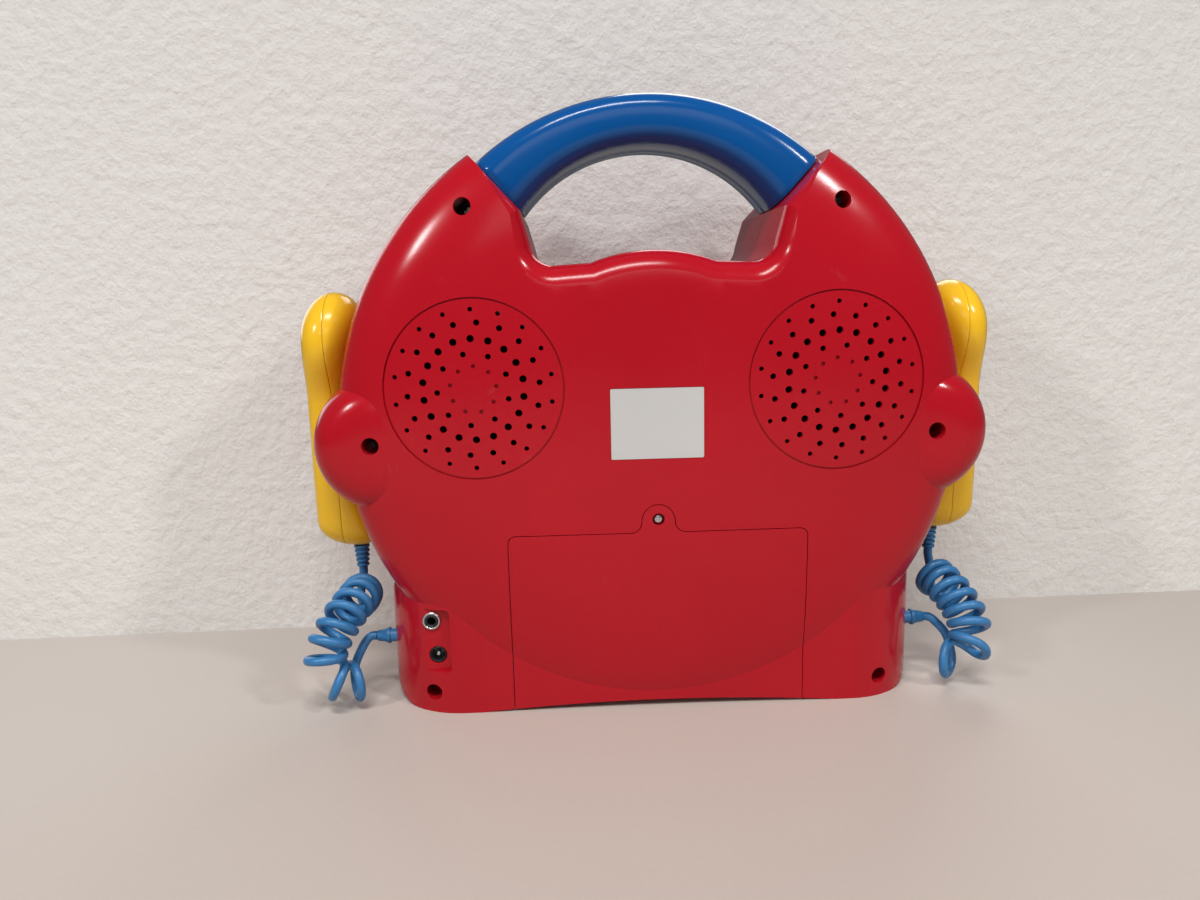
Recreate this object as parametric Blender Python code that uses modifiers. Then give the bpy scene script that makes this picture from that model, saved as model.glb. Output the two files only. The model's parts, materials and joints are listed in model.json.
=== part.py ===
# A child's upright disc player with a carrying handle, a lift-off battery door and two
# microphones on curly cords. Metres, +Z up. The front with the disc lid faces -Y, the
# speakers and the battery door face +Y, and the origin is at the middle of the underside.

import math

import bmesh
import bpy
import numpy as np
from mathutils import Vector

# Casing: a domed disc that stands on a rounded base block
LID_RADIUS = 0.0625
LID_SURROUND = 0.066
DISC_RADIUS = LID_RADIUS + LID_SURROUND
DISC_Z = 0.1188
REAR_DEPTH = 0.045
FRONT_DEPTH = 0.050
KNOB_HEIGHT = 0.006
PARTING_Y = (FRONT_DEPTH + KNOB_HEIGHT - REAR_DEPTH) / 2
REAR_Y = PARTING_Y + REAR_DEPTH
FRONT_Y = PARTING_Y - FRONT_DEPTH
DOME_POWER = 5.5
WALL = 0.0025
GAP = 0.0003
WELD = 0.000002
OVERRUN = 0.003
BASE_INSET = 0.0155
BASE_HALF_WIDTH = DISC_RADIUS - BASE_INSET
BASE_TOP_Z = 0.060
BASE_STEP = 0.0048
BASE_CORNER = 0.032
BASE_FOOT_RADIUS = 0.012
BASE_SHOULDER_RADIUS = 0.018
ARCH_HALF_WIDTH = 0.075
ARCH_RISE = 0.003

# Ears: round cheeks that hold a microphone between them on each side
EAR_INSET = 0.0185
EAR_DROP = 0.0068
EAR_X = DISC_RADIUS - EAR_INSET
EAR_Z = DISC_Z - EAR_DROP
EAR_RADIUS = 0.0292
EAR_STEP = 0.0035
EAR_DEPTH = REAR_DEPTH - EAR_STEP
EAR_FRONT_DEPTH = FRONT_DEPTH - EAR_STEP
EAR_POWER = 4.3
CRADLE_HALF_WIDTH = 0.0124

# Handle opening, the horns beside it and the handle
BUMP_CLEARANCE = 0.003
BUMP_DEGREES = 21
OPENING_CORNER_SHARES = (0.2996, 0.558)
OPENING_CORNER_X = DISC_RADIUS * OPENING_CORNER_SHARES[0]
OPENING_CORNER_Z = DISC_Z + DISC_RADIUS * OPENING_CORNER_SHARES[1]
OPENING_CORNER_RADIUS = 0.009
OPENING_CORNER_START = -100
OPENING_CORNER_END = -4
OPENING_FLARE = 0.010
FRONT_FLARE = 0.0015
HORN_INNER_SHARES = (0.3969, 0.6514)
HORN_OUTER_SHARES = (0.5447, 0.8132)
HORN_INNER_X = DISC_RADIUS * HORN_INNER_SHARES[0]
HORN_INNER_Z = DISC_Z + DISC_RADIUS * HORN_INNER_SHARES[1]
HORN_OUTER_X = DISC_RADIUS * HORN_OUTER_SHARES[0]
HORN_OUTER_Z = DISC_Z + DISC_RADIUS * HORN_OUTER_SHARES[1]
HANDLE_RISE = 0.0022
HANDLE_THICKNESS = 0.0211
HANDLE_TOP_Z = DISC_Z + DISC_RADIUS + HANDLE_RISE
HANDLE_INNER_Z = HANDLE_TOP_Z - HANDLE_THICKNESS
HANDLE_HALF_DEPTH = 0.023
HANDLE_POWER = 3.4
HANDLE_WALL = 0.0028
HANDLE_STEPS = 10
HANDLE_ANGLE_STEP = 36
SPIGOT_RADIUS = 0.006
SPIGOT_LENGTH = 0.006

# Battery door and the box for four C cells in two rows
DOOR_HALF_WIDTH = 0.060
DOOR_TOP_Z = 0.076
DOOR_CORNER = 0.003
DOOR_LIP = 0.008
TAB_HALF_WIDTH = 0.0065
TAB_FILLET = 0.0045
TAB_TOP_Z = 0.0874
DOOR_SCREW_Z = 0.0815
DOOR_HOLE_RADIUS = 0.00245
BAY_HALF_WIDTH = 0.056
BAY_LOW_Z = 0.010
BAY_HEIGHT = 0.056
BAY_DEPTH = 0.030
BOX_WALL = 0.002
BOX_FLANGE = 0.006
CONTACT_HALF = 0.009
CONTACT_THICKNESS = 0.0005
CONTACT_BUTTON_RADIUS = 0.003
CONTACT_BUTTON_HEIGHT = 0.0012
SPRING_RADIUS = 0.006
SPRING_TIP_RADIUS = 0.0035
SPRING_WIRE = 0.0004
SPRING_LENGTH = 0.007
SPRING_TURNS = 2.5
SPRING_STEPS = 16

# Screws and the posts that they run in
SCREW_HEAD_RADIUS = 0.003
SCREW_HEAD_HEIGHT = 0.0022
SCREW_CROWN_SHARE = 0.6
SCREW_RADIUS = 0.0014
SCREW_LENGTH = 0.022
SCREW_SEAT_DEPTH = 0.012
SCREW_RECESS_RADIUS = 0.0034
POST_RADIUS = 0.0052
TOP_SCREW_SHARES = (0.565, 0.663)
TOP_SCREW_X = DISC_RADIUS * TOP_SCREW_SHARES[0]
TOP_SCREW_Z = DISC_Z + DISC_RADIUS * TOP_SCREW_SHARES[1]
MIDDLE_SCREW_OUT = 0.0025
MIDDLE_SCREW_UP = 0.0015
MIDDLE_SCREW_X = EAR_X + MIDDLE_SCREW_OUT
MIDDLE_SCREW_Z = EAR_Z + MIDDLE_SCREW_UP
BOTTOM_SCREW_INSET = 0.0196
BOTTOM_SCREW_X = BASE_HALF_WIDTH - BOTTOM_SCREW_INSET
BOTTOM_SCREW_Z = 0.0088
DOOR_SCREW_HEAD_RADIUS = 0.00185
DOOR_SCREW_LENGTH = 0.008

# Speakers behind rings of holes
SPEAKER_X = 0.071
SPEAKER_Z = 0.135
SPEAKER_RADIUS = 0.0345
SPEAKER_SEAT = 0.0118
SPEAKER_RIM = 0.0015
SPEAKER_DEPTH = 0.018
MAGNET_RADIUS = 0.016
MAGNET_HEIGHT = 0.008
CONE_DEPTH = 0.008
CONE_THICKNESS = 0.0006
DUST_CAP_RADIUS = 0.009
DUST_CAP_SHARE = 0.6
GRILLE_RING_RADII = (0.014, 0.0196, 0.0257)
GRILLE_HOLE_RADII = (0.0012, 0.0015, 0.0013)
GRILLE_RING_COUNTS = (8, 11, 14)
GRILLE_START_DEGREES = (76, 89, 95)

# Sockets in a pocket on the rear of the base
POCKET_INSET = 0.0218
POCKET_X = BASE_HALF_WIDTH - POCKET_INSET
POCKET_Z = 0.0313
POCKET_HALF_WIDTH = 0.0058
POCKET_HALF_HEIGHT = 0.0134
POCKET_FLOOR_DEPTH = 0.0365
AUDIO_JACK_OUT = 0.002
AUDIO_JACK_X = POCKET_X + AUDIO_JACK_OUT
AUDIO_JACK_Z = 0.0395
AUDIO_JACK_RADIUS = 0.00265
AUDIO_BORE_RADIUS = 0.0018
JACK_NUT_RADIUS = 0.0037
JACK_NUT_HEIGHT = 0.0010
JACK_RISE = 0.0013
JACK_BODY_RADIUS = 0.0048
JACK_BODY_LENGTH = 0.012
JACK_SHOULDER = 0.003
POWER_SOCKET_X = POCKET_X
POWER_SOCKET_Z = 0.0247
POWER_SOCKET_RADIUS = 0.0034
POWER_BORE_RADIUS = 0.00285
POWER_PIN_RADIUS = 0.0009

# Power switch and cord glands on the sides of the base
SWITCH_SETBACK = 0.007
SWITCH_Y = PARTING_Y + SWITCH_SETBACK
SWITCH_Z = 0.017
SWITCH_HALF_WIDTH = 0.0014
SWITCH_HALF_HEIGHT = 0.0019
SWITCH_TRAVEL = 0.004
SWITCH_REACH = 0.0038
SWITCH_PLATE = 0.0012
GLAND_SETBACK = 0.016
GLAND_Y = PARTING_Y + GLAND_SETBACK
GLAND_Z = 0.026
GLAND_NECK_RADIUS = 0.0028
GLAND_FLANGE_RADIUS = 0.0045
GLAND_FLANGE = 0.0012
GLAND_LENGTH = 0.007
GLAND_SLOPE = 0.0028

# Disc lid, well and drive
LID_THICKNESS = 0.0026
LID_GAP = 0.0008
WINDOW_FRAME = 0.0225
WINDOW_RADIUS = LID_RADIUS - WINDOW_FRAME
WINDOW_THICKNESS = 0.0014
WINDOW_LEDGE = 0.003
HINGE_RADIUS = 0.0019
HINGE_PIN_RADIUS = 0.0010
HINGE_PIN_LENGTH = 0.002
HINGE_HALF_LENGTH = 0.0135
HINGE_DROP = 0.0018
HINGE_BLOCK_DEPTH = 0.007
HINGE_BLOCK_HALF = 0.018
HINGE_BLOCK_RISE = 0.0015
HINGE_BLOCK_DROP = 0.0045
HOOK_DEGREES = 135
HOOK_INSET = 0.001
HOOK_RADIUS = LID_RADIUS - HOOK_INSET
HOOK_HALF_WIDTH = 0.0006
HOOK_HALF_LENGTH = 0.003
HOOK_REACH = 0.006
WELL_INSET = 0.0017
WELL_RADIUS = LID_RADIUS - WELL_INSET
WELL_WALL = 0.0015
WELL_FLANGE_OUT = 0.0025
WELL_FLANGE_RADIUS = LID_RADIUS + WELL_FLANGE_OUT
WELL_FLANGE = 0.0015
WELL_DEPTH = 0.005
WELL_FLOOR = 0.0015
HUB_RADIUS = 0.015
HUB_THICKNESS = 0.0025
BOSS_RADIUS = 0.0073
HUB_BOSS_HEIGHT = 0.0022
HUB_STEM_RADIUS = 0.004
HUB_CLEARANCE = 0.001
DISC_SEAT_DEPTH = 0.0052
CHASSIS_HALF_WIDTH = 0.067
CHASSIS_HALF_HEIGHT = 0.032
CHASSIS_THICKNESS = 0.002
MOTOR_RADIUS = 0.012
MOTOR_LENGTH = 0.011
MOTOR_SHAFT_RADIUS = 0.001
SLED_START_X = 0.026
SLED_TRAVEL = 0.026
SLED_HALF_WIDTH = 0.009
SLED_HALF_HEIGHT = 0.014
SLED_DEPTH = 0.010
SLED_NECK_HALF = 0.005
LENS_RADIUS = 0.0033
LENS_HEIGHT = 0.0012
LENS_CROWN_SHARES = (0.6, 0.85)
ROD_RADIUS = 0.0014
ROD_OFFSET_Z = 0.009
ROD_OFFSET_Y = 0.005
LUG_THICKNESS = 0.004
GEAR_RADIUS = 0.008
GEAR_TOOTH = 0.0008
GEAR_TEETH = 20
GEAR_THICKNESS = 0.003
GEAR_X = 0.039
GEAR_PIN_RADIUS = 0.0015

# Front controls around the lid
BUTTON_RADIUS = 0.0065
BUTTON_FLANGE = 0.0015
BUTTON_FLANGE_THICKNESS = 0.0012
FLANGE_DROP = 0.0022
BUTTON_PROUD = 0.0022
BUTTON_TRAVEL = 0.001
BUTTON_STEM_RADIUS = 0.002
BUTTON_CLEARANCE = 0.008
BUTTON_RING_RADIUS = WELL_FLANGE_RADIUS + BUTTON_CLEARANCE + BUTTON_RADIUS
BUTTON_DEGREES = {"skip_back": -50, "stop": -31, "play": 31, "skip_forward": 50}
OPEN_BUTTON_DEGREES = 135
OPEN_BUTTON_RADIUS = 0.0055
OPEN_BUTTON_CLEARANCE = 0.0035
OPEN_BUTTON_RING_RADIUS = WELL_FLANGE_RADIUS + OPEN_BUTTON_CLEARANCE + OPEN_BUTTON_RADIUS
KNOB_CLEARANCE = 0.007
KNOB_RADIUS = 0.011
KNOB_X = WELL_FLANGE_RADIUS + KNOB_CLEARANCE + KNOB_RADIUS
KNOB_STEM_RADIUS = 0.003
KNOB_STEM_LENGTH = 0.009
KNOB_POINTER_WIDTH = 0.0012
KNOB_POINTER_DEPTH = 0.0008
KNOB_BOSS_RADIUS = 0.0055
DISPLAY_HALF_WIDTH = 0.020
DISPLAY_HALF_HEIGHT = 0.0065
DISPLAY_BORDER = 0.002
BOARD_THICKNESS = 0.0016
KEY_BOARD_CLEARANCE = 0.0045
KEY_BOARD_WIDTH = 0.0185
KEY_BOARD_INNER = WELL_FLANGE_RADIUS + KEY_BOARD_CLEARANCE
KEY_BOARD_OUTER = KEY_BOARD_INNER + KEY_BOARD_WIDTH
KEY_BOARD_DEGREES = 60
KEY_POST_DEGREES = (-40.5, -22.5, 22.5, 40.5)
KEY_POST_RADIUS = 0.0025
MAIN_BOARD_HALF_WIDTH = 0.050
MAIN_BOARD_HALF_HEIGHT = 0.026

# Microphones: handset bodies that hug the casing between the ears
MIC_TOP_Z = 0.1732
MIC_BOTTOM_Z = 0.0630
MIC_REACH = 0.0175
MIC_OUTER_X = DISC_RADIUS + MIC_REACH
MIC_SEAT = 0.0006
MIC_CROWN_OUT = 0.004
MIC_CROWN_X = DISC_RADIUS + MIC_CROWN_OUT
MIC_SHOULDER_Z = 0.143
MIC_TAIL_INSET = 0.0005
MIC_TAIL_X = DISC_RADIUS - MIC_TAIL_INSET
MIC_TAIL_Z = 0.090
MIC_HEAD_Z = 0.153
MIC_HEAD_HALF = 0.0195
MIC_GRIP_HIGH_Z = 0.126
MIC_GRIP_HALF = 0.0112
MIC_GRIP_LOW_Z = 0.092
MIC_BULB_Z = 0.0745
MIC_BULB_HALF = 0.0105
MIC_POWER = 2.4
MIC_PARTING_OUT = 0.0052
MIC_PARTING_X = DISC_RADIUS + MIC_PARTING_OUT
MIC_CAP_STEPS = 3
MIC_BODY_STEPS = 6
MIC_STEPS = 10
MIC_WALL = 0.0018
MESH_RADIUS = 0.0095
MESH_Z = 0.1515
MESH_DROP = 0.0018
MESH_X = MIC_OUTER_X - MESH_DROP
MESH_BULGE = 0.0024
MESH_BULGE_SHARES = (0.0, 0.4, 0.75, 1.0)
MESH_LIP = 0.0018
MESH_THICKNESS = 0.0014
CAPSULE_RADIUS = 0.005
CAPSULE_LENGTH = 0.006
RELIEF_RADIUS = 0.0034
RELIEF_LENGTH = 0.0095
RELIEF_RIBS = 4
RELIEF_GROOVE = 0.0008
RELIEF_NECK_RADIUS = 0.0017
RELIEF_NECK_LENGTH = 0.005

# Curly cords
CORD_RADIUS = 0.0016
CURL_RADIUS = 0.0072
CURL_PITCH = 0.0042
CURL_SPACE = 0.0010
CURL_POINTS = 8
CORD_LEAD_STEP = 0.003
CURL_STEP = 0.0003
CURL_EASE = 0.008
CURL_CLOSEST_SHARE = 0.2
ROUTE_SAMPLES = 40
NEIGHBOUR_RADII = 8

# Roughness of the meshes that are turned or bent
DISC_STEPS = 36
PROFILE_SHARES = (0.0, 0.1, 0.32, 0.56, 0.8)
EAR_STEPS = 20
ROUND_STEPS = 12
SMALL_STEPS = 10
INNER_STEPS = 8
HOLE_STEPS = 4
TRIM_STEPS = 8

COLOURS = {
    "red_plastic": ((0.40, 0.005, 0.010), 0.28, 0.0),
    "blue_plastic": ((0.0, 0.07, 0.30), 0.28, 0.0),
    "yellow_plastic": ((0.80, 0.47, 0.025), 0.30, 0.0),
    "white_plastic": ((0.80, 0.80, 0.78), 0.45, 0.0),
    "black_plastic": ((0.02, 0.02, 0.022), 0.50, 0.0),
    "clear_plastic": ((0.25, 0.32, 0.38), 0.10, 0.0),
    "blue_cord": ((0.035, 0.19, 0.42), 0.45, 0.0),
    "steel": ((0.55, 0.55, 0.56), 0.30, 1.0),
    "paper_cone": ((0.05, 0.05, 0.05), 0.85, 0.0),
    "green_board": ((0.02, 0.16, 0.06), 0.50, 0.0),
    "display_grey": ((0.22, 0.26, 0.22), 0.20, 0.0),
    "lens_glass": ((0.10, 0.12, 0.35), 0.05, 0.0),
}

SIDES = (("left", -1), ("right", 1))
materials = {}
pieces = bpy.data.collections.new("disc_player")
cutters = bpy.data.collections.new("disc_player_cutters")


# Scene and materials

def clear_scene():
    for old in list(bpy.data.objects):
        bpy.data.objects.remove(old, do_unlink=True)
    bpy.context.scene.collection.children.link(pieces)
    bpy.context.scene.collection.children.link(cutters)


def make_materials():
    for name, (colour, roughness, metallic) in COLOURS.items():
        made = bpy.data.materials.new(name)
        made.use_nodes = True
        shader = made.node_tree.nodes["Principled BSDF"]
        shader.inputs["Base Color"].default_value = (*colour, 1.0)
        shader.inputs["Roughness"].default_value = roughness
        shader.inputs["Metallic"].default_value = metallic
        made.diffuse_color = (*colour, 1.0)
        materials[name] = made


def finish_object(thing, finish, pivot=None):
    """Put a finished piece in its collection, with its own material and its pivot."""
    own = materials[finish].copy()
    own.name = thing.name + "_finish"
    thing.data.materials.clear()
    thing.data.materials.append(own)
    if pivot:
        thing.parent = pivot
        thing.location = thing.location - pivot.location
    return thing


def pivot_at(name, place):
    """An empty on a joint's axis, which carries the pieces that move together."""
    empty = bpy.data.objects.new(name, None)
    empty.empty_display_size = GLAND_LENGTH
    empty.location = place
    pieces.objects.link(empty)
    return empty


def mesh_object(name, mesh, finish=None, pivot=None):
    """An object from a bmesh in world places; a cutter where no finish is named."""
    bmesh.ops.recalc_face_normals(mesh, faces=mesh.faces)
    data = bpy.data.meshes.new(name)
    mesh.to_mesh(data)
    mesh.free()
    thing = bpy.data.objects.new(name, data)
    if finish:
        pieces.objects.link(thing)
        return finish_object(thing, finish, pivot)
    return as_cutter(thing)


def as_cutter(thing):
    cutters.objects.link(thing)
    thing.display_type = "WIRE"
    thing.hide_render = True
    return thing


def copy_of(source, name, finish=None, pivot=None):
    """A piece or cutter that starts from another object's evaluated mesh, welded clean."""
    bpy.context.view_layer.update()
    seen = source.evaluated_get(bpy.context.evaluated_depsgraph_get())
    data = bpy.data.meshes.new_from_object(seen)
    data.transform(source.matrix_world)
    mesh = bmesh.new()
    mesh.from_mesh(data)
    bmesh.ops.remove_doubles(mesh, verts=mesh.verts, dist=WELD)
    mesh.to_mesh(data)
    mesh.free()
    thing = bpy.data.objects.new(name, data)
    if finish:
        pieces.objects.link(thing)
        return finish_object(thing, finish, pivot)
    return as_cutter(thing)


def boolean(target, other, operation="DIFFERENCE"):
    step = target.modifiers.new(operation.lower(), "BOOLEAN")
    step.operation = operation
    step.object = other
    step.solver = "EXACT"
    return target


def carved(source, others, name, finish=None, pivot=None, operation="DIFFERENCE"):
    """A copy of a form with the others taken from it (or joined to it) one after another."""
    stage = source
    for number, other in enumerate(others, 1):
        stage = copy_of(stage, name + "_stage_" + str(number))
        boolean(stage, other, operation)
    return copy_of(stage, name, finish, pivot)


# Shapes that are added to a bmesh in world places

def add_block(mesh, low, high):
    low, high = Vector(low), Vector(high)
    made = bmesh.ops.create_cube(mesh, size=1.0)
    bmesh.ops.scale(mesh, verts=made["verts"], vec=high - low)
    bmesh.ops.translate(mesh, verts=made["verts"], vec=(high + low) / 2)
    return made["verts"]


def add_rod(mesh, radius, start, end, sides=INNER_STEPS, end_radius=None):
    """A cylinder or cone between two places."""
    start, end = Vector(start), Vector(end)
    way = end - start
    made = bmesh.ops.create_cone(
        mesh, cap_ends=True, segments=sides, radius1=radius,
        radius2=radius if end_radius is None else end_radius, depth=way.length)
    turn = way.to_track_quat("Z", "Y").to_matrix().to_4x4()
    bmesh.ops.transform(mesh, matrix=turn, verts=made["verts"])
    bmesh.ops.translate(mesh, verts=made["verts"], vec=(start + end) / 2)
    return made["verts"]


def add_prism(mesh, outline, sweep):
    """A flat outline of 3-D places, filled and swept along a vector."""
    corners = [mesh.verts.new(place) for place in outline]
    edges = [mesh.edges.new((one, two)) for one, two in zip(corners, corners[1:] + corners[:1])]
    face = bmesh.ops.contextual_create(mesh, geom=edges)["faces"][0]
    swept = bmesh.ops.extrude_face_region(mesh, geom=[face], use_keep_orig=True)
    moved = [item for item in swept["geom"] if isinstance(item, bmesh.types.BMVert)]
    bmesh.ops.translate(mesh, verts=moved, vec=sweep)


def add_front_prism(mesh, outline, low_y, high_y):
    add_prism(mesh, [(x, low_y, z) for x, z in outline], (0, high_y - low_y, 0))


def add_loft(mesh, rings, closed=True, capped=True):
    """A skin over rings of equally many places; it gives back their corners."""
    rows = [[mesh.verts.new(place) for place in ring] for ring in rings]
    for low, high in zip(rows, rows[1:]):
        pairs = list(zip(low, high))
        following = pairs[1:] + pairs[:1] if closed else pairs[1:]
        for (a, b), (c, d) in zip(pairs, following):
            mesh.faces.new((a, c, d, b))
    if capped:
        mesh.faces.new(rows[0][::-1])
        mesh.faces.new(rows[-1])
    return rows


def arc(centre_x, centre_z, radius, start, end, count):
    """Places on an arc, in degrees from +X towards the second axis."""
    angles = [math.radians(start + (end - start) * step / count) for step in range(count + 1)]
    return [(centre_x + radius * math.cos(a), centre_z + radius * math.sin(a)) for a in angles]


def offset_outline(outline, distance):
    """The outline moved outwards by a distance; it runs anticlockwise."""
    places = np.array(outline)
    before = places - np.roll(places, 1, axis=0)
    after = np.roll(places, -1, axis=0) - places
    before /= np.linalg.norm(before, axis=1)[:, None]
    after /= np.linalg.norm(after, axis=1)[:, None]
    normals_before = np.stack((before[:, 1], -before[:, 0]), axis=1)
    normals_after = np.stack((after[:, 1], -after[:, 0]), axis=1)
    mitre = normals_before + normals_after
    mitre /= (1 + np.sum(normals_before * normals_after, axis=1))[:, None]
    return [tuple(place) for place in (places + mitre * distance).tolist()]


def blunt(value, power):
    """A sine or cosine bent towards a superellipse."""
    return math.copysign(abs(value) ** (2 / power), value)


def ease(share):
    share = min(max(share, 0.0), 1.0)
    return (1 - math.cos(math.pi * share)) / 2


def dome_profile(radius, depth, power):
    """Half a superellipse from the crown to just short of the rim."""
    points = []
    for share in PROFILE_SHARES:
        angle = math.pi / 2 * share
        points.append((radius * math.sin(angle) ** (2 / power),
                       depth * math.cos(angle) ** (2 / power)))
    return points


def turned(name, profile, place, direction, steps=ROUND_STEPS, finish=None, pivot=None):
    """A profile of (radius, height) that runs down its outer side, turned about an axis."""
    data = bpy.data.meshes.new(name)
    edges = [(i, i + 1) for i in range(len(profile) - 1)]
    if profile[0] == profile[-1]:
        profile = profile[:-1]
        edges[-1] = (len(profile) - 1, 0)
    data.from_pydata([(radius, 0, height) for radius, height in profile], edges, [])
    thing = bpy.data.objects.new(name, data)
    screw = thing.modifiers.new("turn", "SCREW")
    screw.axis = "Z"
    screw.angle = 2 * math.pi
    screw.steps = steps
    screw.render_steps = steps
    screw.use_merge_vertices = True
    screw.merge_threshold = 0.00001
    thing.location = place
    thing.rotation_euler = Vector(direction).to_track_quat("Z", "Y").to_euler()
    if finish:
        pieces.objects.link(thing)
        return finish_object(thing, finish, pivot)
    return as_cutter(thing)


# The casing's outer form and its hollow, for one cover

def base_outline(inset):
    half, top = BASE_HALF_WIDTH, BASE_TOP_Z
    foot, shoulder = BASE_FOOT_RADIUS, BASE_SHOULDER_RADIUS
    right = arc(half - foot, foot, foot, -90, 0, 4) \
        + arc(half - shoulder, top - shoulder, shoulder, 0, 90, 5)
    left = [(-x, z) for x, z in reversed(right)]
    return offset_outline(right + left, -inset)


def base_block(name, outward, depth, inset, start):
    """The base block: its front outline met by its plan outline."""
    start = PARTING_Y + outward * start
    end = PARTING_Y + outward * (depth - BASE_STEP - inset)
    corner = BASE_CORNER - inset
    half = BASE_HALF_WIDTH + GAP - inset
    plan = arc(half - corner, 0, corner, 0, 90, 6)
    near = [(x, end - outward * (corner - y)) for x, y in plan]
    behind = [(half, start - outward * OVERRUN)]
    right = behind + near
    ring = right + [(-x, y) for x, y in reversed(right)]
    side = bmesh.new()
    add_prism(side, [(x, y, -OVERRUN) for x, y in ring], (0, 0, BASE_TOP_Z + 2 * OVERRUN))
    plan_form = mesh_object(name + "_plan", side)
    front = bmesh.new()
    add_front_prism(front, base_outline(inset), start, end + outward * OVERRUN)
    block = mesh_object(name, front)
    return boolean(block, plan_form, "INTERSECT")


def ground(name, inset):
    """The space under the arched underside."""
    half = ARCH_HALF_WIDTH
    radius = (half * half + ARCH_RISE * ARCH_RISE) / (2 * ARCH_RISE)
    spread = math.degrees(math.asin(half / radius)) * (1 + ARCH_RISE / half)
    arch = arc(0, ARCH_RISE + inset - radius, radius, 90 - spread, 90 + spread, 8)
    deep = DISC_Z - DISC_RADIUS - OVERRUN
    mesh = bmesh.new()
    outline = [(arch[-1][0], deep), (arch[0][0], deep)] + arch
    add_front_prism(mesh, outline, FRONT_Y - OVERRUN, REAR_Y + OVERRUN)
    return mesh_object(name, mesh)


def opening_outline(offset):
    """The handle opening with the space between the horns above it."""
    bump = arc(0, DISC_Z, WELL_FLANGE_RADIUS + BUMP_CLEARANCE, 90 + BUMP_DEGREES, 90 - BUMP_DEGREES, 6)
    corner = arc(OPENING_CORNER_X, OPENING_CORNER_Z, OPENING_CORNER_RADIUS,
                 OPENING_CORNER_START, OPENING_CORNER_END, 5)
    along_x = HORN_OUTER_X - HORN_INNER_X
    along_z = HORN_OUTER_Z - HORN_INNER_Z
    beyond = (HORN_OUTER_X + along_x, HORN_OUTER_Z + along_z)
    right = corner + [(HORN_INNER_X, HORN_INNER_Z), (HORN_OUTER_X, HORN_OUTER_Z), beyond,
                      (beyond[0], HANDLE_TOP_Z + along_z)]
    left = [(-x, z) for x, z in reversed(right)]
    return offset_outline(bump + right + left, offset)


def opening(name, outward, extra):
    """A cutter for the opening whose mouth flares, so that the edge it leaves is round."""
    flare, depth = (OPENING_FLARE, REAR_DEPTH) if outward > 0 else (FRONT_FLARE, FRONT_DEPTH)
    levels = [(-OVERRUN, 0), (depth - flare, 0)]
    for step in (1, 2, 3, 4):
        turn = math.pi / 2 * step / 4
        levels.append((depth - flare + flare * math.sin(turn), flare * (1 - math.cos(turn))))
    levels.append((depth + OVERRUN, flare))
    rings = []
    for level, spread in levels:
        y = PARTING_Y + outward * level
        rings.append([(x, y, z) for x, z in opening_outline(spread + extra)])
    mesh = bmesh.new()
    add_loft(mesh, rings)
    return mesh_object(name, mesh)


def dome(name, outward, depth, inset, start):
    """One cover's dome from its crown to a start counted from the parting plane."""
    radius = DISC_RADIUS - inset
    profile = dome_profile(radius, depth - inset, DOME_POWER) + [(radius, start), (0, start)]
    return turned(name, profile, (0, PARTING_Y, DISC_Z), (0, outward, 0), DISC_STEPS)


def cheek(name, side, outward):
    """Half an ear: the part of a small dome that stands beside the cradle."""
    depth = EAR_DEPTH if outward > 0 else EAR_FRONT_DEPTH
    profile = [(across, along) for across, along in dome_profile(EAR_RADIUS, depth, EAR_POWER)
               if along > CRADLE_HALF_WIDTH]
    foot = EAR_RADIUS * (1 - (CRADLE_HALF_WIDTH / depth) ** EAR_POWER) ** (1 / EAR_POWER)
    profile += [(foot, CRADLE_HALF_WIDTH), (0, CRADLE_HALF_WIDTH)]
    return turned(name, profile, (side * EAR_X, PARTING_Y, EAR_Z), (0, outward, 0), EAR_STEPS)


def cover_form(name, outward):
    """The outer form of one cover as a solid."""
    depth = REAR_DEPTH if outward > 0 else FRONT_DEPTH
    joined = [base_block(name + "_base", outward, depth, 0, GAP / 2)]
    joined += [cheek(name + "_cheek_" + side_name, side, outward) for side_name, side in SIDES]
    solid = carved(dome(name + "_dome", outward, depth, 0, GAP / 2), joined, name + "_solid",
                   operation="UNION")
    return carved(solid, [ground(name + "_ground", 0), opening(name + "_opening", outward, 0)], name)


def cover_hollow(name, outward, inset, supports=None):
    """The space inside one cover, less the supports that are to be left standing."""
    depth = REAR_DEPTH if outward > 0 else FRONT_DEPTH
    base = base_block(name + "_base", outward, depth, inset, -OVERRUN)
    solid = carved(dome(name + "_dome", outward, depth, inset, -OVERRUN), [base], name + "_solid",
                   operation="UNION")
    removed = [ground(name + "_ground", inset), opening(name + "_opening", outward, inset)]
    return carved(solid, removed + ([supports] if supports else []), name)


# Places that more than one piece reads

SCREW_PLACES = {
    "top": (TOP_SCREW_X, TOP_SCREW_Z),
    "middle": (MIDDLE_SCREW_X, MIDDLE_SCREW_Z),
    "bottom": (BOTTOM_SCREW_X, BOTTOM_SCREW_Z),
}
SCREW_SEAT_Y = PARTING_Y + SCREW_SEAT_DEPTH
DOOR_INNER_Y = REAR_Y - BASE_STEP - WALL
BAY_FLOOR_Y = DOOR_INNER_Y - BAY_DEPTH
BAY_MIDDLE_Z = BAY_LOW_Z + BAY_HEIGHT / 2
SPEAKER_SEAT_Y = REAR_Y - SPEAKER_SEAT
POCKET_FLOOR_Y = PARTING_Y + POCKET_FLOOR_DEPTH
LID_BACK_Y = FRONT_Y + LID_THICKNESS
HINGE_Y = FRONT_Y + HINGE_RADIUS + GAP / 4
HINGE_Z = DISC_Z - LID_RADIUS - HINGE_DROP
WELL_FRONT_Y = FRONT_Y + WALL + 2 * GAP
WELL_FLOOR_Y = WELL_FRONT_Y + WELL_DEPTH
CHASSIS_Y = WELL_FLOOR_Y + WELL_FLOOR + GAP
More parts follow.
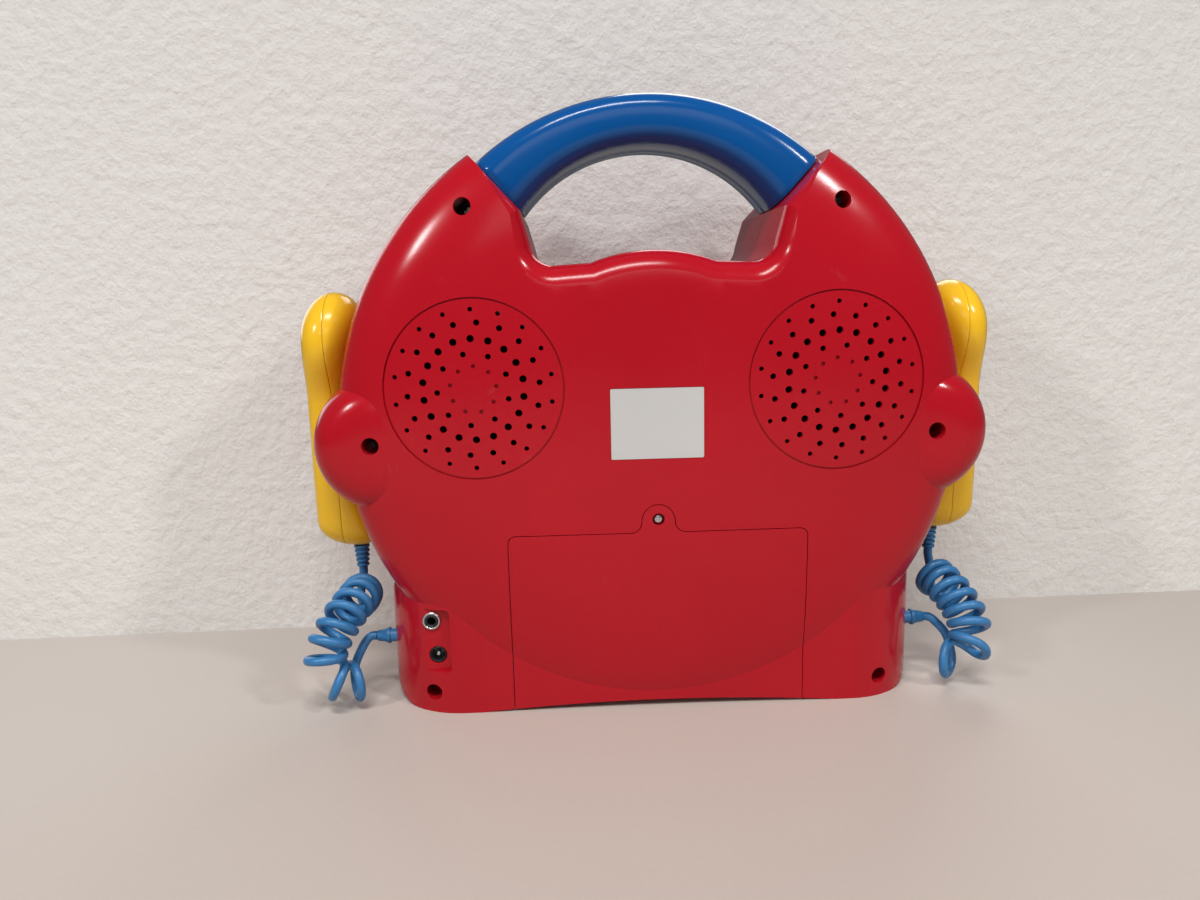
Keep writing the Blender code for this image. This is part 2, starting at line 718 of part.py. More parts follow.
CHASSIS_BACK_Y = CHASSIS_Y + CHASSIS_THICKNESS
DECK_Y = CHASSIS_BACK_Y + GAP
GEAR_Z = DISC_Z + SLED_HALF_HEIGHT + GEAR_RADIUS + 2 * GAP
ROD_Y = DECK_Y + ROD_OFFSET_Y
ROD_Z = DISC_Z - ROD_OFFSET_Z
LUG_START_X = SLED_START_X - SLED_HALF_WIDTH - 2 * GAP
LUG_END_X = SLED_START_X + SLED_TRAVEL + SLED_HALF_WIDTH + 2 * GAP
FLANGE_Y = FRONT_Y + WALL + FLANGE_DROP
KEY_BOARD_Y = FLANGE_Y + BUTTON_FLANGE_THICKNESS + 4 * BUTTON_TRAVEL
MAIN_BOARD_Y = BAY_FLOOR_Y - BOX_WALL - GAP - BOARD_THICKNESS
DISPLAY_Z = DISC_Z - BUTTON_RING_RADIUS


def horn_frame():
    """The middle of a horn's end plane and the direction of the handle into it."""
    run = Vector((HORN_OUTER_X - HORN_INNER_X, 0, HORN_OUTER_Z - HORN_INNER_Z)).normalized()
    middle = Vector(((HORN_OUTER_X + HORN_INNER_X) / 2, PARTING_Y,
                     (HORN_OUTER_Z + HORN_INNER_Z) / 2))
    return middle, Vector((run.z, 0, -run.x))


def add_spigots(mesh, radius, above, below):
    middle, inward = horn_frame()
    for name, side in SIDES:
        mirror = Vector((side, 1, 1))
        add_rod(mesh, radius, (middle - inward * above) * mirror,
                (middle + inward * below) * mirror)


def ring_place(degrees, radius):
    """A place on a ring round the disc's centre, counted from straight below."""
    turn = math.radians(degrees)
    return radius * math.sin(turn), DISC_Z - radius * math.cos(turn)


def add_screw_rods(mesh, radius, low_y, high_y):
    for x, z in SCREW_PLACES.values():
        for name, side in SIDES:
            add_rod(mesh, radius, (side * x, low_y, z), (side * x, high_y, z))


# Rear cover and battery door

def door_outline(offset):
    corner = arc(DOOR_HALF_WIDTH - DOOR_CORNER, DOOR_TOP_Z - DOOR_CORNER, DOOR_CORNER, 0, 90, 2)
    fillet = arc(TAB_HALF_WIDTH + TAB_FILLET, DOOR_TOP_Z + TAB_FILLET, TAB_FILLET, 270, 180, 3)
    crown_z = TAB_TOP_Z - TAB_HALF_WIDTH
    crown = arc(0, crown_z, TAB_HALF_WIDTH, 0, 90, 4)
    right = [(DOOR_HALF_WIDTH, -OVERRUN)] + corner + fillet + crown
    left = [(-x, z) for x, z in reversed(right[:-1])]
    return offset_outline(right + left, offset)


def door_prism(name, offset):
    mesh = bmesh.new()
    add_front_prism(mesh, door_outline(offset), REAR_Y - DOOR_LIP - offset, REAR_Y + OVERRUN)
    return mesh_object(name, mesh)


def speaker_ring(name, side):
    inner, outer = SPEAKER_RADIUS - SPEAKER_RIM, SPEAKER_RADIUS + GAP
    height = SPEAKER_SEAT + OVERRUN
    return turned(name, [(inner, height), (outer, height), (outer, 0), (inner, 0), (inner, height)],
                  (side * SPEAKER_X, SPEAKER_SEAT_Y, SPEAKER_Z), (0, 1, 0), ROUND_STEPS)


def rear_supports():
    mesh = bmesh.new()
    add_screw_rods(mesh, POST_RADIUS, PARTING_Y - 2 * OVERRUN, REAR_Y + OVERRUN)
    half, high = POCKET_HALF_WIDTH + WALL, POCKET_HALF_HEIGHT + WALL
    add_block(mesh, (POCKET_X - half, POCKET_FLOOR_Y - WALL, POCKET_Z - high),
              (POCKET_X + half, REAR_Y + OVERRUN, POCKET_Z + high))
    return mesh_object("rear_supports", mesh)


def rear_recesses():
    mesh = bmesh.new()
    add_screw_rods(mesh, SCREW_RECESS_RADIUS, SCREW_SEAT_Y, REAR_Y + OVERRUN)
    add_block(mesh,
              (POCKET_X - POCKET_HALF_WIDTH, POCKET_FLOOR_Y, POCKET_Z - POCKET_HALF_HEIGHT),
              (POCKET_X + POCKET_HALF_WIDTH, REAR_Y + OVERRUN, POCKET_Z + POCKET_HALF_HEIGHT))
    return mesh_object("rear_recesses", mesh)


def add_grille_holes(mesh, side):
    for ring, radius, count, start in zip(GRILLE_RING_RADII, GRILLE_HOLE_RADII,
                                          GRILLE_RING_COUNTS, GRILLE_START_DEGREES):
        for step in range(count):
            turn = math.radians(start + 360 * step / count)
            x = side * (SPEAKER_X + ring * math.cos(turn))
            z = SPEAKER_Z + ring * math.sin(turn)
            add_rod(mesh, radius, (x, SPEAKER_SEAT_Y, z), (x, REAR_Y + OVERRUN, z), HOLE_STEPS)


def rear_bores():
    mesh = bmesh.new()
    add_screw_rods(mesh, SCREW_RADIUS + GAP, PARTING_Y - OVERRUN, SCREW_SEAT_Y + OVERRUN)
    for name, side in SIDES:
        add_grille_holes(mesh, side)
        inner_x, outer_x = BASE_HALF_WIDTH - 2 * OVERRUN, BASE_HALF_WIDTH + OVERRUN
        add_rod(mesh, GLAND_NECK_RADIUS + GAP, (side * inner_x, GLAND_Y, GLAND_Z),
                (side * outer_x, GLAND_Y, GLAND_Z))
    for x, z, radius in ((AUDIO_JACK_X, AUDIO_JACK_Z, AUDIO_JACK_RADIUS),
                         (POWER_SOCKET_X, POWER_SOCKET_Z, POWER_SOCKET_RADIUS)):
        add_rod(mesh, radius + GAP, (x, POCKET_FLOOR_Y - 2 * OVERRUN, z),
                (x, POCKET_FLOOR_Y + OVERRUN / 2, z))
    reach = SWITCH_HALF_HEIGHT + SWITCH_TRAVEL / 2 + GAP
    wide = SWITCH_HALF_WIDTH + GAP
    add_block(mesh, (BASE_HALF_WIDTH - 2 * OVERRUN, SWITCH_Y - wide, SWITCH_Z - reach),
              (BASE_HALF_WIDTH + OVERRUN, SWITCH_Y + wide, SWITCH_Z + reach))
    add_spigots(mesh, SPIGOT_RADIUS + GAP, OVERRUN, SPIGOT_LENGTH + GAP)
    return mesh_object("rear_bores", mesh)


def make_rear(pivots):
    form = cover_form("rear_form", 1)
    rings = [speaker_ring("speaker_ring_" + name, side) for name, side in SIDES]
    supports = carved(rear_supports(), rings, "rear_standing", operation="UNION")
    hollow = cover_hollow("rear_space", 1, WALL, supports)
    carved(form, [hollow, door_prism("door_aperture", GAP), rear_recesses(), rear_bores()],
           "rear_cover", "red_plastic")
    make_door(form, hollow, pivots["battery_door"])


def make_door(form, hollow, pivot):
    door = carved(form, [door_prism("door_form", 0)], "door_slab", operation="INTERSECT")
    recess = bmesh.new()
    seat_y = REAR_Y - WALL / 2 - GAP
    add_rod(recess, DOOR_HOLE_RADIUS, (0, seat_y, DOOR_SCREW_Z), (0, REAR_Y + OVERRUN, DOOR_SCREW_Z))
    bore = bmesh.new()
    add_rod(bore, SCREW_RADIUS + GAP, (0, REAR_Y - DOOR_LIP, DOOR_SCREW_Z),
            (0, REAR_Y + OVERRUN, DOOR_SCREW_Z))
    cut = [hollow, mesh_object("door_recess", recess), mesh_object("door_bore", bore)]
    carved(door, cut, "battery_door", "red_plastic", pivot)
    screw("battery_door_screw", 0, DOOR_SCREW_Z, seat_y + GAP, DOOR_SCREW_HEAD_RADIUS,
          WALL / 3, DOOR_SCREW_LENGTH, pivot)


def screw(name, x, z, seat_y, head_radius, head_height, length, pivot=None):
    """A pan-head screw along Y whose head sits at seat_y."""
    profile = [(0, head_height), (head_radius * SCREW_CROWN_SHARE, head_height),
               (head_radius, head_height / 2), (head_radius, 0), (SCREW_RADIUS, 0), (SCREW_RADIUS, -length + SCREW_RADIUS),
               (0, -length)]
    return turned(name, profile, (x, seat_y, z), (0, 1, 0), TRIM_STEPS, "steel", pivot)


def make_screws():
    for level, (x, z) in SCREW_PLACES.items():
        for side_name, side in SIDES:
            screw("case_screw_" + level + "_" + side_name, side * x, z, SCREW_SEAT_Y + GAP,
                  SCREW_HEAD_RADIUS, SCREW_HEAD_HEIGHT, SCREW_LENGTH)


# Battery box with its contacts and springs

def make_battery_box():
    space = cover_hollow("box_space", 1, WALL + GAP)
    low_z, high_z = BAY_LOW_Z, BAY_LOW_Z + BAY_HEIGHT
    mesh = bmesh.new()
    add_block(mesh, (-BAY_HALF_WIDTH - BOX_WALL, BAY_FLOOR_Y - BOX_WALL, low_z - BOX_WALL),
              (BAY_HALF_WIDTH + BOX_WALL, REAR_Y, high_z + BOX_WALL))
    box = mesh_object("box_body", mesh)
    flange = bmesh.new()
    add_block(flange, (-DOOR_HALF_WIDTH - BOX_FLANGE, DOOR_INNER_Y - BOX_FLANGE, low_z - BOX_WALL),
              (DOOR_HALF_WIDTH + BOX_FLANGE, REAR_Y + OVERRUN, high_z + BOX_FLANGE + BOX_WALL))
    boolean(box, mesh_object("box_flange", flange), "UNION")
    lug = bmesh.new()
    add_block(lug, (-TAB_HALF_WIDTH, DOOR_INNER_Y - BOX_FLANGE / 2, high_z),
              (TAB_HALF_WIDTH, REAR_Y + 2 * OVERRUN, TAB_TOP_Z + BOX_WALL))
    boolean(box, mesh_object("box_lug", lug), "UNION")
    box = copy_of(box, "battery_box", "black_plastic")
    boolean(box, space, "INTERSECT")
    bay = bmesh.new()
    add_block(bay, (-BAY_HALF_WIDTH, BAY_FLOOR_Y, low_z), (BAY_HALF_WIDTH, REAR_Y + OVERRUN, high_z))
    add_rod(bay, SCREW_RADIUS + GAP, (0, REAR_Y - DOOR_LIP - DOOR_SCREW_LENGTH, DOOR_SCREW_Z),
            (0, REAR_Y + OVERRUN, DOOR_SCREW_Z))
    boolean(box, mesh_object("box_bay", bay))


def contact(name, x, inward, z_centres, button_z):
    """A sprung plate at one end of the bay, with a button where a cell's tip touches it."""
    face = x + inward * CONTACT_THICKNESS
    mesh = bmesh.new()
    low_z, high_z = min(z_centres) - CONTACT_HALF, max(z_centres) + CONTACT_HALF
    middle_y = BAY_FLOOR_Y + BAY_DEPTH / 2
    ends = sorted((x, face))
    add_block(mesh, (ends[0], middle_y - CONTACT_HALF, low_z),
              (ends[1], middle_y + CONTACT_HALF, high_z))
    plate = mesh_object(name + "_plate", mesh)
    if button_z is not None:
        tip = bmesh.new()
        add_rod(tip, CONTACT_BUTTON_RADIUS, (x + inward * CONTACT_THICKNESS / 2, middle_y, button_z),
                (face + inward * CONTACT_BUTTON_HEIGHT, middle_y, button_z),
                SMALL_STEPS, CONTACT_BUTTON_RADIUS / 2)
        boolean(plate, mesh_object(name + "_button", tip), "UNION")
    return copy_of(plate, name, "steel")


def contact_spring(name, x, inward, z):
    """A conical spring that stands on a contact plate."""
    places = []
    for step in range(SPRING_STEPS + 1):
        share = step / SPRING_STEPS
        radius = SPRING_RADIUS + (SPRING_TIP_RADIUS - SPRING_RADIUS) * share
        turn = 2 * math.pi * SPRING_TURNS * share
        places.append((x + inward * (SPRING_WIRE + SPRING_LENGTH * share),
                       BAY_FLOOR_Y + BAY_DEPTH / 2 + radius * math.cos(turn),
                       z + radius * math.sin(turn)))
    tube(name, places, SPRING_WIRE, 0, "steel")


def make_contacts():
    row = BAY_HEIGHT / 4
    low_z, high_z = BAY_MIDDLE_Z - row, BAY_MIDDLE_Z + row
    end = BAY_HALF_WIDTH - GAP
    stand = CONTACT_THICKNESS + GAP
    contact("battery_contact_plus", -end, 1, [high_z], high_z)
    contact("battery_contact_minus", -end, 1, [low_z], None)
    contact("battery_contact_bridge", end, -1, [low_z, high_z], low_z)
    contact_spring("battery_spring_minus", -end + stand, 1, low_z)
    contact_spring("battery_spring_bridge", end - stand, -1, high_z)


def tube(name, places, radius, resolution, finish, pivot=None):
    """A bent wire or cord as one unbroken tube along its places."""
    curve = bpy.data.curves.new(name, "CURVE")
    curve.dimensions = "3D"
    curve.bevel_depth = radius
    curve.bevel_resolution = resolution
    curve.use_fill_caps = True
    spline = curve.splines.new("POLY")
    spline.points.add(len(places) - 1)
    for point, place in zip(spline.points, places):
        point.co = (*place, 1.0)
    thing = bpy.data.objects.new(name, curve)
    pieces.objects.link(thing)
    return finish_object(thing, finish, pivot)


# Speakers, sockets, switch and glands in the rear cover

def make_speakers():
    """A basket with its magnet and a cone with a dust cap, both turned about Y."""
    inner, rim = SPEAKER_RADIUS - 2 * SPEAKER_RIM, SPEAKER_RADIUS - GAP
    magnet_top = MAGNET_HEIGHT - SPEAKER_DEPTH
    floor = -CONE_DEPTH - SPEAKER_RIM
    basket = [(0, floor), (MAGNET_RADIUS, floor), (inner, -SPEAKER_RIM), (inner, 0), (rim, 0),
              (rim, -SPEAKER_RIM), (inner + SPEAKER_RIM, -SPEAKER_RIM - GAP),
              (MAGNET_RADIUS + SPEAKER_RIM, magnet_top), (MAGNET_RADIUS, magnet_top),
              (MAGNET_RADIUS, -SPEAKER_DEPTH), (0, -SPEAKER_DEPTH)]
    edge, cap = inner - GAP, DUST_CAP_RADIUS
    low, thick = -CONE_DEPTH, CONE_THICKNESS
    cone = [(0, low + 4 * thick), (cap * DUST_CAP_SHARE, low + 3 * thick), (cap, low + thick),
            (edge - thick, -thick), (edge, -thick), (edge, -2 * thick), (cap, low), (0, low)]
    for name, side in SIDES:
        place = (side * SPEAKER_X, SPEAKER_SEAT_Y - GAP, SPEAKER_Z)
        turned("speaker_basket_" + name, basket, place, (0, 1, 0), ROUND_STEPS, "steel")
        turned("speaker_cone_" + name, cone, place, (0, 1, 0), ROUND_STEPS, "paper_cone")


def make_sockets():
    """Both sockets are turned about Y; heights count from the pocket's floor."""
    back = -WALL - GAP - JACK_SHOULDER
    deep = back - JACK_BODY_LENGTH
    jack_top = GAP + JACK_RISE
    jack = [(0, deep / 2), (AUDIO_BORE_RADIUS, deep / 2), (AUDIO_BORE_RADIUS, jack_top),
            (AUDIO_JACK_RADIUS, jack_top), (AUDIO_JACK_RADIUS, back), (JACK_BODY_RADIUS, back),
            (JACK_BODY_RADIUS, deep), (0, deep)]
    place = (AUDIO_JACK_X, POCKET_FLOOR_Y, AUDIO_JACK_Z)
    turned("audio_jack", jack, place, (0, 1, 0), SMALL_STEPS, "black_plastic")
    bore = AUDIO_JACK_RADIUS + GAP
    low, high = GAP, GAP + JACK_NUT_HEIGHT
    nut = [(bore, high), (JACK_NUT_RADIUS, high), (JACK_NUT_RADIUS, low), (bore, low), (bore, high)]
    turned("audio_jack_nut", nut, place, (0, 1, 0), SMALL_STEPS, "steel")
    socket = [(0, back), (POWER_PIN_RADIUS, back), (POWER_PIN_RADIUS, deep / 2),
              (POWER_BORE_RADIUS, deep / 2), (POWER_BORE_RADIUS, 0), (POWER_SOCKET_RADIUS, 0),
              (POWER_SOCKET_RADIUS, back), (JACK_BODY_RADIUS, back), (JACK_BODY_RADIUS, deep), (0, deep)]
    turned("power_socket", socket, (POWER_SOCKET_X, POCKET_FLOOR_Y, POWER_SOCKET_Z), (0, 1, 0),
           SMALL_STEPS, "black_plastic")


def make_switch(pivot):
    """The slider that stands out through the slot, on a plate behind the side wall."""
    plate_x = BASE_HALF_WIDTH - WALL - 2 * GAP
    z = SWITCH_Z - SWITCH_TRAVEL / 2
    half = SWITCH_HALF_HEIGHT + SWITCH_TRAVEL / 2
    mesh = bmesh.new()
    add_block(mesh, (plate_x - SWITCH_PLATE, SWITCH_Y - 2 * SWITCH_HALF_WIDTH, z - half),
              (plate_x, SWITCH_Y + 2 * SWITCH_HALF_WIDTH, z + half))
    plate = mesh_object("power_switch_plate", mesh)
    mesh = bmesh.new()
    add_block(mesh, (plate_x - SWITCH_PLATE / 2, SWITCH_Y - SWITCH_HALF_WIDTH, z - SWITCH_HALF_HEIGHT),
              (plate_x + SWITCH_REACH, SWITCH_Y + SWITCH_HALF_WIDTH, z + SWITCH_HALF_HEIGHT))
    boolean(plate, mesh_object("power_switch_nub", mesh), "UNION")
    copy_of(plate, "power_switch", "white_plastic", pivot)


def make_glands():
    """Bushings that hold the cords' ends; heights count from the base's side."""
    inside = -WALL - GLAND_SLOPE
    profile = [(0, GLAND_LENGTH), (CORD_RADIUS + GAP, GLAND_LENGTH), (GLAND_NECK_RADIUS, GLAND_SLOPE),
               (GLAND_NECK_RADIUS, inside), (GLAND_FLANGE_RADIUS, inside),
               (GLAND_FLANGE_RADIUS, inside - GLAND_FLANGE), (0, inside - GLAND_FLANGE)]
    for name, side in SIDES:
        turned("cord_gland_" + name, profile, (side * BASE_HALF_WIDTH, GLAND_Y, GLAND_Z),
               (side, 0, 0), SMALL_STEPS, "blue_cord")


# Front cover with its controls

def front_supports():
    mesh = bmesh.new()
    add_screw_rods(mesh, POST_RADIUS, FRONT_Y - OVERRUN, PARTING_Y + 2 * OVERRUN)
    add_block(mesh, (-HINGE_BLOCK_HALF, FRONT_Y - OVERRUN, HINGE_Z - HINGE_BLOCK_DROP),
              (HINGE_BLOCK_HALF, FRONT_Y + HINGE_BLOCK_DEPTH, HINGE_Z + HINGE_BLOCK_RISE))
    for name, side in SIDES:
        add_rod(mesh, KNOB_BOSS_RADIUS, (side * KNOB_X, FRONT_Y - OVERRUN, DISC_Z),
                (side * KNOB_X, FRONT_Y + KNOB_STEM_LENGTH - BUTTON_TRAVEL, DISC_Z))
    for degrees in KEY_POST_DEGREES:
        x, z = ring_place(degrees, BUTTON_RING_RADIUS)
        add_rod(mesh, KEY_POST_RADIUS, (x, FRONT_Y - OVERRUN, z), (x, KEY_BOARD_Y - GAP, z))
    return mesh_object("front_supports", mesh)


def button_places():
    places = {name + "_button": ring_place(degrees, BUTTON_RING_RADIUS) + (BUTTON_RADIUS,)
              for name, degrees in BUTTON_DEGREES.items()}
    places["open_button"] = ring_place(OPEN_BUTTON_DEGREES, OPEN_BUTTON_RING_RADIUS) \
        + (OPEN_BUTTON_RADIUS,)
    return places


def front_holes():
    mesh = bmesh.new()
    add_rod(mesh, LID_RADIUS + LID_GAP, (0, FRONT_Y - OVERRUN, DISC_Z),
            (0, FRONT_Y + 2 * WALL, DISC_Z), DISC_STEPS)
    for x, z, radius in button_places().values():
        add_rod(mesh, radius + GAP, (x, FRONT_Y - OVERRUN, z), (x, FRONT_Y + 2 * WALL, z), ROUND_STEPS)
    for name, side in SIDES:
        add_rod(mesh, KNOB_STEM_RADIUS + GAP, (side * KNOB_X, FRONT_Y - OVERRUN, DISC_Z),
                (side * KNOB_X, FRONT_Y + 2 * KNOB_STEM_LENGTH, DISC_Z))
    add_screw_rods(mesh, SCREW_RADIUS + GAP, SCREW_SEAT_Y - SCREW_LENGTH - OVERRUN,
                   PARTING_Y + OVERRUN)
    add_block(mesh, (-DISPLAY_HALF_WIDTH, FRONT_Y - OVERRUN, DISPLAY_Z - DISPLAY_HALF_HEIGHT),
              (DISPLAY_HALF_WIDTH, FLANGE_Y, DISPLAY_Z + DISPLAY_HALF_HEIGHT))
    add_spigots(mesh, SPIGOT_RADIUS + GAP, OVERRUN, SPIGOT_LENGTH + GAP)
    return mesh_object("front_holes", mesh)


def hinge_hollow():
    """The notch for the lid's barrel, with the holes for its two pins."""
    wide, reach = HINGE_HALF_LENGTH + GAP, HINGE_RADIUS + GAP
    mesh = bmesh.new()
    add_block(mesh, (-wide, FRONT_Y - OVERRUN, HINGE_Z - reach),
              (wide, HINGE_Y + reach, DISC_Z - LID_RADIUS + HINGE_DROP))
    notch = mesh_object("hinge_notch", mesh)
    mesh = bmesh.new()
    end = HINGE_HALF_LENGTH + HINGE_PIN_LENGTH + GAP
    add_rod(mesh, HINGE_PIN_RADIUS + GAP, (-end, HINGE_Y, HINGE_Z), (end, HINGE_Y, HINGE_Z))
    return boolean(notch, mesh_object("hinge_pin_bore", mesh), "UNION")


def make_front():
    hollow = cover_hollow("front_space", -1, WALL, front_supports())
    notch = copy_of(hinge_hollow(), "hinge_hollow")
    carved(cover_form("front_form", -1), [hollow, front_holes(), notch], "front_cover", "red_plastic")


def make_buttons(pivots):
    for name, (x, z, radius) in button_places().items():
        flange = radius + BUTTON_FLANGE
        back = -BUTTON_FLANGE_THICKNESS
        stem = back - (KEY_BOARD_Y - FLANGE_Y - BUTTON_FLANGE_THICKNESS - BUTTON_TRAVEL - GAP)
        front = FLANGE_Y - FRONT_Y + BUTTON_PROUD
        bevel = BUTTON_FLANGE / 2
        profile = [(0, front), (radius - bevel, front), (radius, front - bevel), (radius, 0),
                   (flange, 0), (flange, back), (BUTTON_STEM_RADIUS, back),
                   (BUTTON_STEM_RADIUS, stem), (0, stem)]
        finish = "blue_plastic" if name == "open_button" else "yellow_plastic"
        turned(name, profile, (x, FLANGE_Y, z), (0, -1, 0), SMALL_STEPS, finish, pivots[name])


def make_knobs(pivots):
    """Knobs on stems, each with a groove in its face as its pointer."""
    top = KNOB_HEIGHT - GAP
    bevel = BUTTON_FLANGE
    profile = [(0, top), (KNOB_RADIUS - bevel, top), (KNOB_RADIUS, top - bevel), (KNOB_RADIUS, 0),
               (KNOB_STEM_RADIUS, 0), (KNOB_STEM_RADIUS, -KNOB_STEM_LENGTH), (0, -KNOB_STEM_LENGTH)]
    for name, side in (("volume_knob", -1), ("microphone_volume_knob", 1)):
        x, half = side * KNOB_X, KNOB_POINTER_WIDTH / 2
        knob = turned(name, profile, (x, FRONT_Y - GAP, DISC_Z), (0, -1, 0), ROUND_STEPS,
                      "yellow_plastic", pivots[name])
        mesh = bmesh.new()
        front = FRONT_Y - KNOB_HEIGHT
        add_block(mesh, (x - half, front - OVERRUN, DISC_Z + KNOB_STEM_RADIUS),
                  (x + half, front + KNOB_POINTER_DEPTH, DISC_Z + KNOB_RADIUS + OVERRUN))
        boolean(knob, mesh_object(name + "_pointer", mesh))


def make_display():
    wide, high = DISPLAY_HALF_WIDTH, DISPLAY_HALF_HEIGHT
    mesh = bmesh.new()
    add_block(mesh, (-wide - DISPLAY_BORDER, FLANGE_Y, DISPLAY_Z - high - DISPLAY_BORDER),
              (wide + DISPLAY_BORDER, KEY_BOARD_Y - GAP, DISPLAY_Z + high + DISPLAY_BORDER))
    module = mesh_object("display_module", mesh)
    mesh = bmesh.new()
    add_block(mesh, (GAP - wide, FRONT_Y + BUTTON_FLANGE_THICKNESS, GAP + DISPLAY_Z - high),
              (wide - GAP, FLANGE_Y + GAP, DISPLAY_Z + high - GAP))
    boolean(module, mesh_object("display_glass", mesh), "UNION")
    copy_of(module, "display", "display_grey")


def make_boards():
    start, end = -90 - KEY_BOARD_DEGREES, -90 + KEY_BOARD_DEGREES
    outline = arc(0, DISC_Z, KEY_BOARD_OUTER, start, end, 12) \
        + arc(0, DISC_Z, KEY_BOARD_INNER, end, start, 12)
    mesh = bmesh.new()
    add_front_prism(mesh, outline, KEY_BOARD_Y, KEY_BOARD_Y + BOARD_THICKNESS)
    mesh_object("key_board", mesh, "green_board")
    mesh = bmesh.new()
    add_block(mesh, (-MAIN_BOARD_HALF_WIDTH, MAIN_BOARD_Y, BAY_MIDDLE_Z - MAIN_BOARD_HALF_HEIGHT),
              (MAIN_BOARD_HALF_WIDTH, MAIN_BOARD_Y + BOARD_THICKNESS,
               BAY_MIDDLE_Z + MAIN_BOARD_HALF_HEIGHT))
    mesh_object("main_board", mesh, "green_board")


# Disc lid, well and drive

def ring_block(name, degrees, radius, half_across, half_along, low_y, high_y):
    """A block that stands square to a ring round the disc's centre."""
    x, z = ring_place(degrees, radius)
    turn = math.radians(degrees)
    out = Vector((math.sin(turn), 0, -math.cos(turn))) * half_across
    along = Vector((math.cos(turn), 0, math.sin(turn))) * half_along
    middle = Vector((x, low_y, z))
    corners = [middle - out - along, middle + out - along, middle + out + along, middle - out + along]
    mesh = bmesh.new()
    add_prism(mesh, [tuple(corner) for corner in corners], (0, high_y - low_y, 0))
    return mesh_object(name, mesh)


def make_lid(pivot):
    bevel = WELL_WALL / 3
    rebate = LID_THICKNESS - WINDOW_THICKNESS - GAP
    inner, ledge = WINDOW_RADIUS + GAP, WINDOW_RADIUS - WINDOW_LEDGE
    top = LID_THICKNESS
    profile = [(ledge, rebate), (inner, rebate), (inner, top), (LID_RADIUS - bevel, top),
               (LID_RADIUS, top - bevel), (LID_RADIUS, bevel), (LID_RADIUS - bevel, 0), (ledge, 0),
               (ledge, rebate)]
    lid = turned("lid_disc", profile, (0, LID_BACK_Y, DISC_Z), (0, -1, 0), DISC_STEPS)
    edge_z = DISC_Z - math.sqrt(LID_RADIUS ** 2 - HINGE_HALF_LENGTH ** 2)
    mesh = bmesh.new()
    add_block(mesh, (-HINGE_HALF_LENGTH, FRONT_Y + GAP / 4, HINGE_Z),
              (HINGE_HALF_LENGTH, LID_BACK_Y - GAP / 4, edge_z + WELL_WALL))
    boolean(lid, mesh_object("lid_arm", mesh), "UNION")
    for name, radius, half in (("lid_barrel", HINGE_RADIUS, HINGE_HALF_LENGTH),
                               ("lid_pin", HINGE_PIN_RADIUS, HINGE_HALF_LENGTH + HINGE_PIN_LENGTH)):
        mesh = bmesh.new()
        add_rod(mesh, radius, (-half, HINGE_Y, HINGE_Z), (half, HINGE_Y, HINGE_Z), SMALL_STEPS)
        boolean(lid, mesh_object(name, mesh), "UNION")
    boolean(lid, ring_block("lid_hook", HOOK_DEGREES, HOOK_RADIUS, HOOK_HALF_WIDTH, HOOK_HALF_LENGTH,
                            LID_BACK_Y - WELL_WALL / 2, LID_BACK_Y + HOOK_REACH), "UNION")
    copy_of(lid, "disc_lid", "red_plastic", pivot)
    pane = [(0, 0), (WINDOW_RADIUS, 0), (WINDOW_RADIUS, -WINDOW_THICKNESS), (0, -WINDOW_THICKNESS)]
    turned("lid_window", pane, (0, FRONT_Y, DISC_Z), (0, -1, 0), DISC_STEPS, "clear_plastic", pivot)


def pickup_slot(name):
    """The slot in which the sled's neck travels, through the well's floor and the chassis."""
    half = SLED_NECK_HALF + 2 * GAP
    mesh = bmesh.new()
    add_block(mesh, (SLED_START_X - half, WELL_FLOOR_Y - OVERRUN, DISC_Z - half),
              (SLED_START_X + SLED_TRAVEL + half, DECK_Y + OVERRUN, DISC_Z + half))
    return mesh_object(name, mesh)


def make_well():
    depth, bore = WELL_DEPTH, HUB_STEM_RADIUS + HUB_CLEARANCE
    inner, outer, rim = WELL_RADIUS, WELL_RADIUS + WELL_WALL, WELL_FLANGE_RADIUS
    low = -depth - WELL_FLOOR
    profile = [(bore, -depth), (inner, -depth), (inner, 0), (rim, 0), (rim, -WELL_FLANGE),
               (outer, -WELL_FLANGE), (outer, low), (bore, low), (bore, -depth)]
    well = turned("disc_well", profile, (0, WELL_FRONT_Y, DISC_Z), (0, -1, 0), DISC_STEPS,
                  "black_plastic")
    boolean(well, pickup_slot("well_slot"))
    mesh = bmesh.new()
    wide = HINGE_BLOCK_HALF + GAP
    add_block(mesh, (-wide, FRONT_Y, DISC_Z - WELL_FLANGE_RADIUS - OVERRUN),
              (wide, FRONT_Y + HINGE_BLOCK_DEPTH + GAP, HINGE_Z + HINGE_BLOCK_RISE + GAP))
    boolean(well, mesh_object("well_hinge_notch", mesh))
    boolean(well, ring_block("well_hook_slot", HOOK_DEGREES, HOOK_RADIUS, HOOK_HALF_WIDTH + 2 * GAP,
                             HOOK_HALF_LENGTH + 2 * GAP, WELL_FRONT_Y - OVERRUN,
                             LID_BACK_Y + HOOK_REACH + GAP))


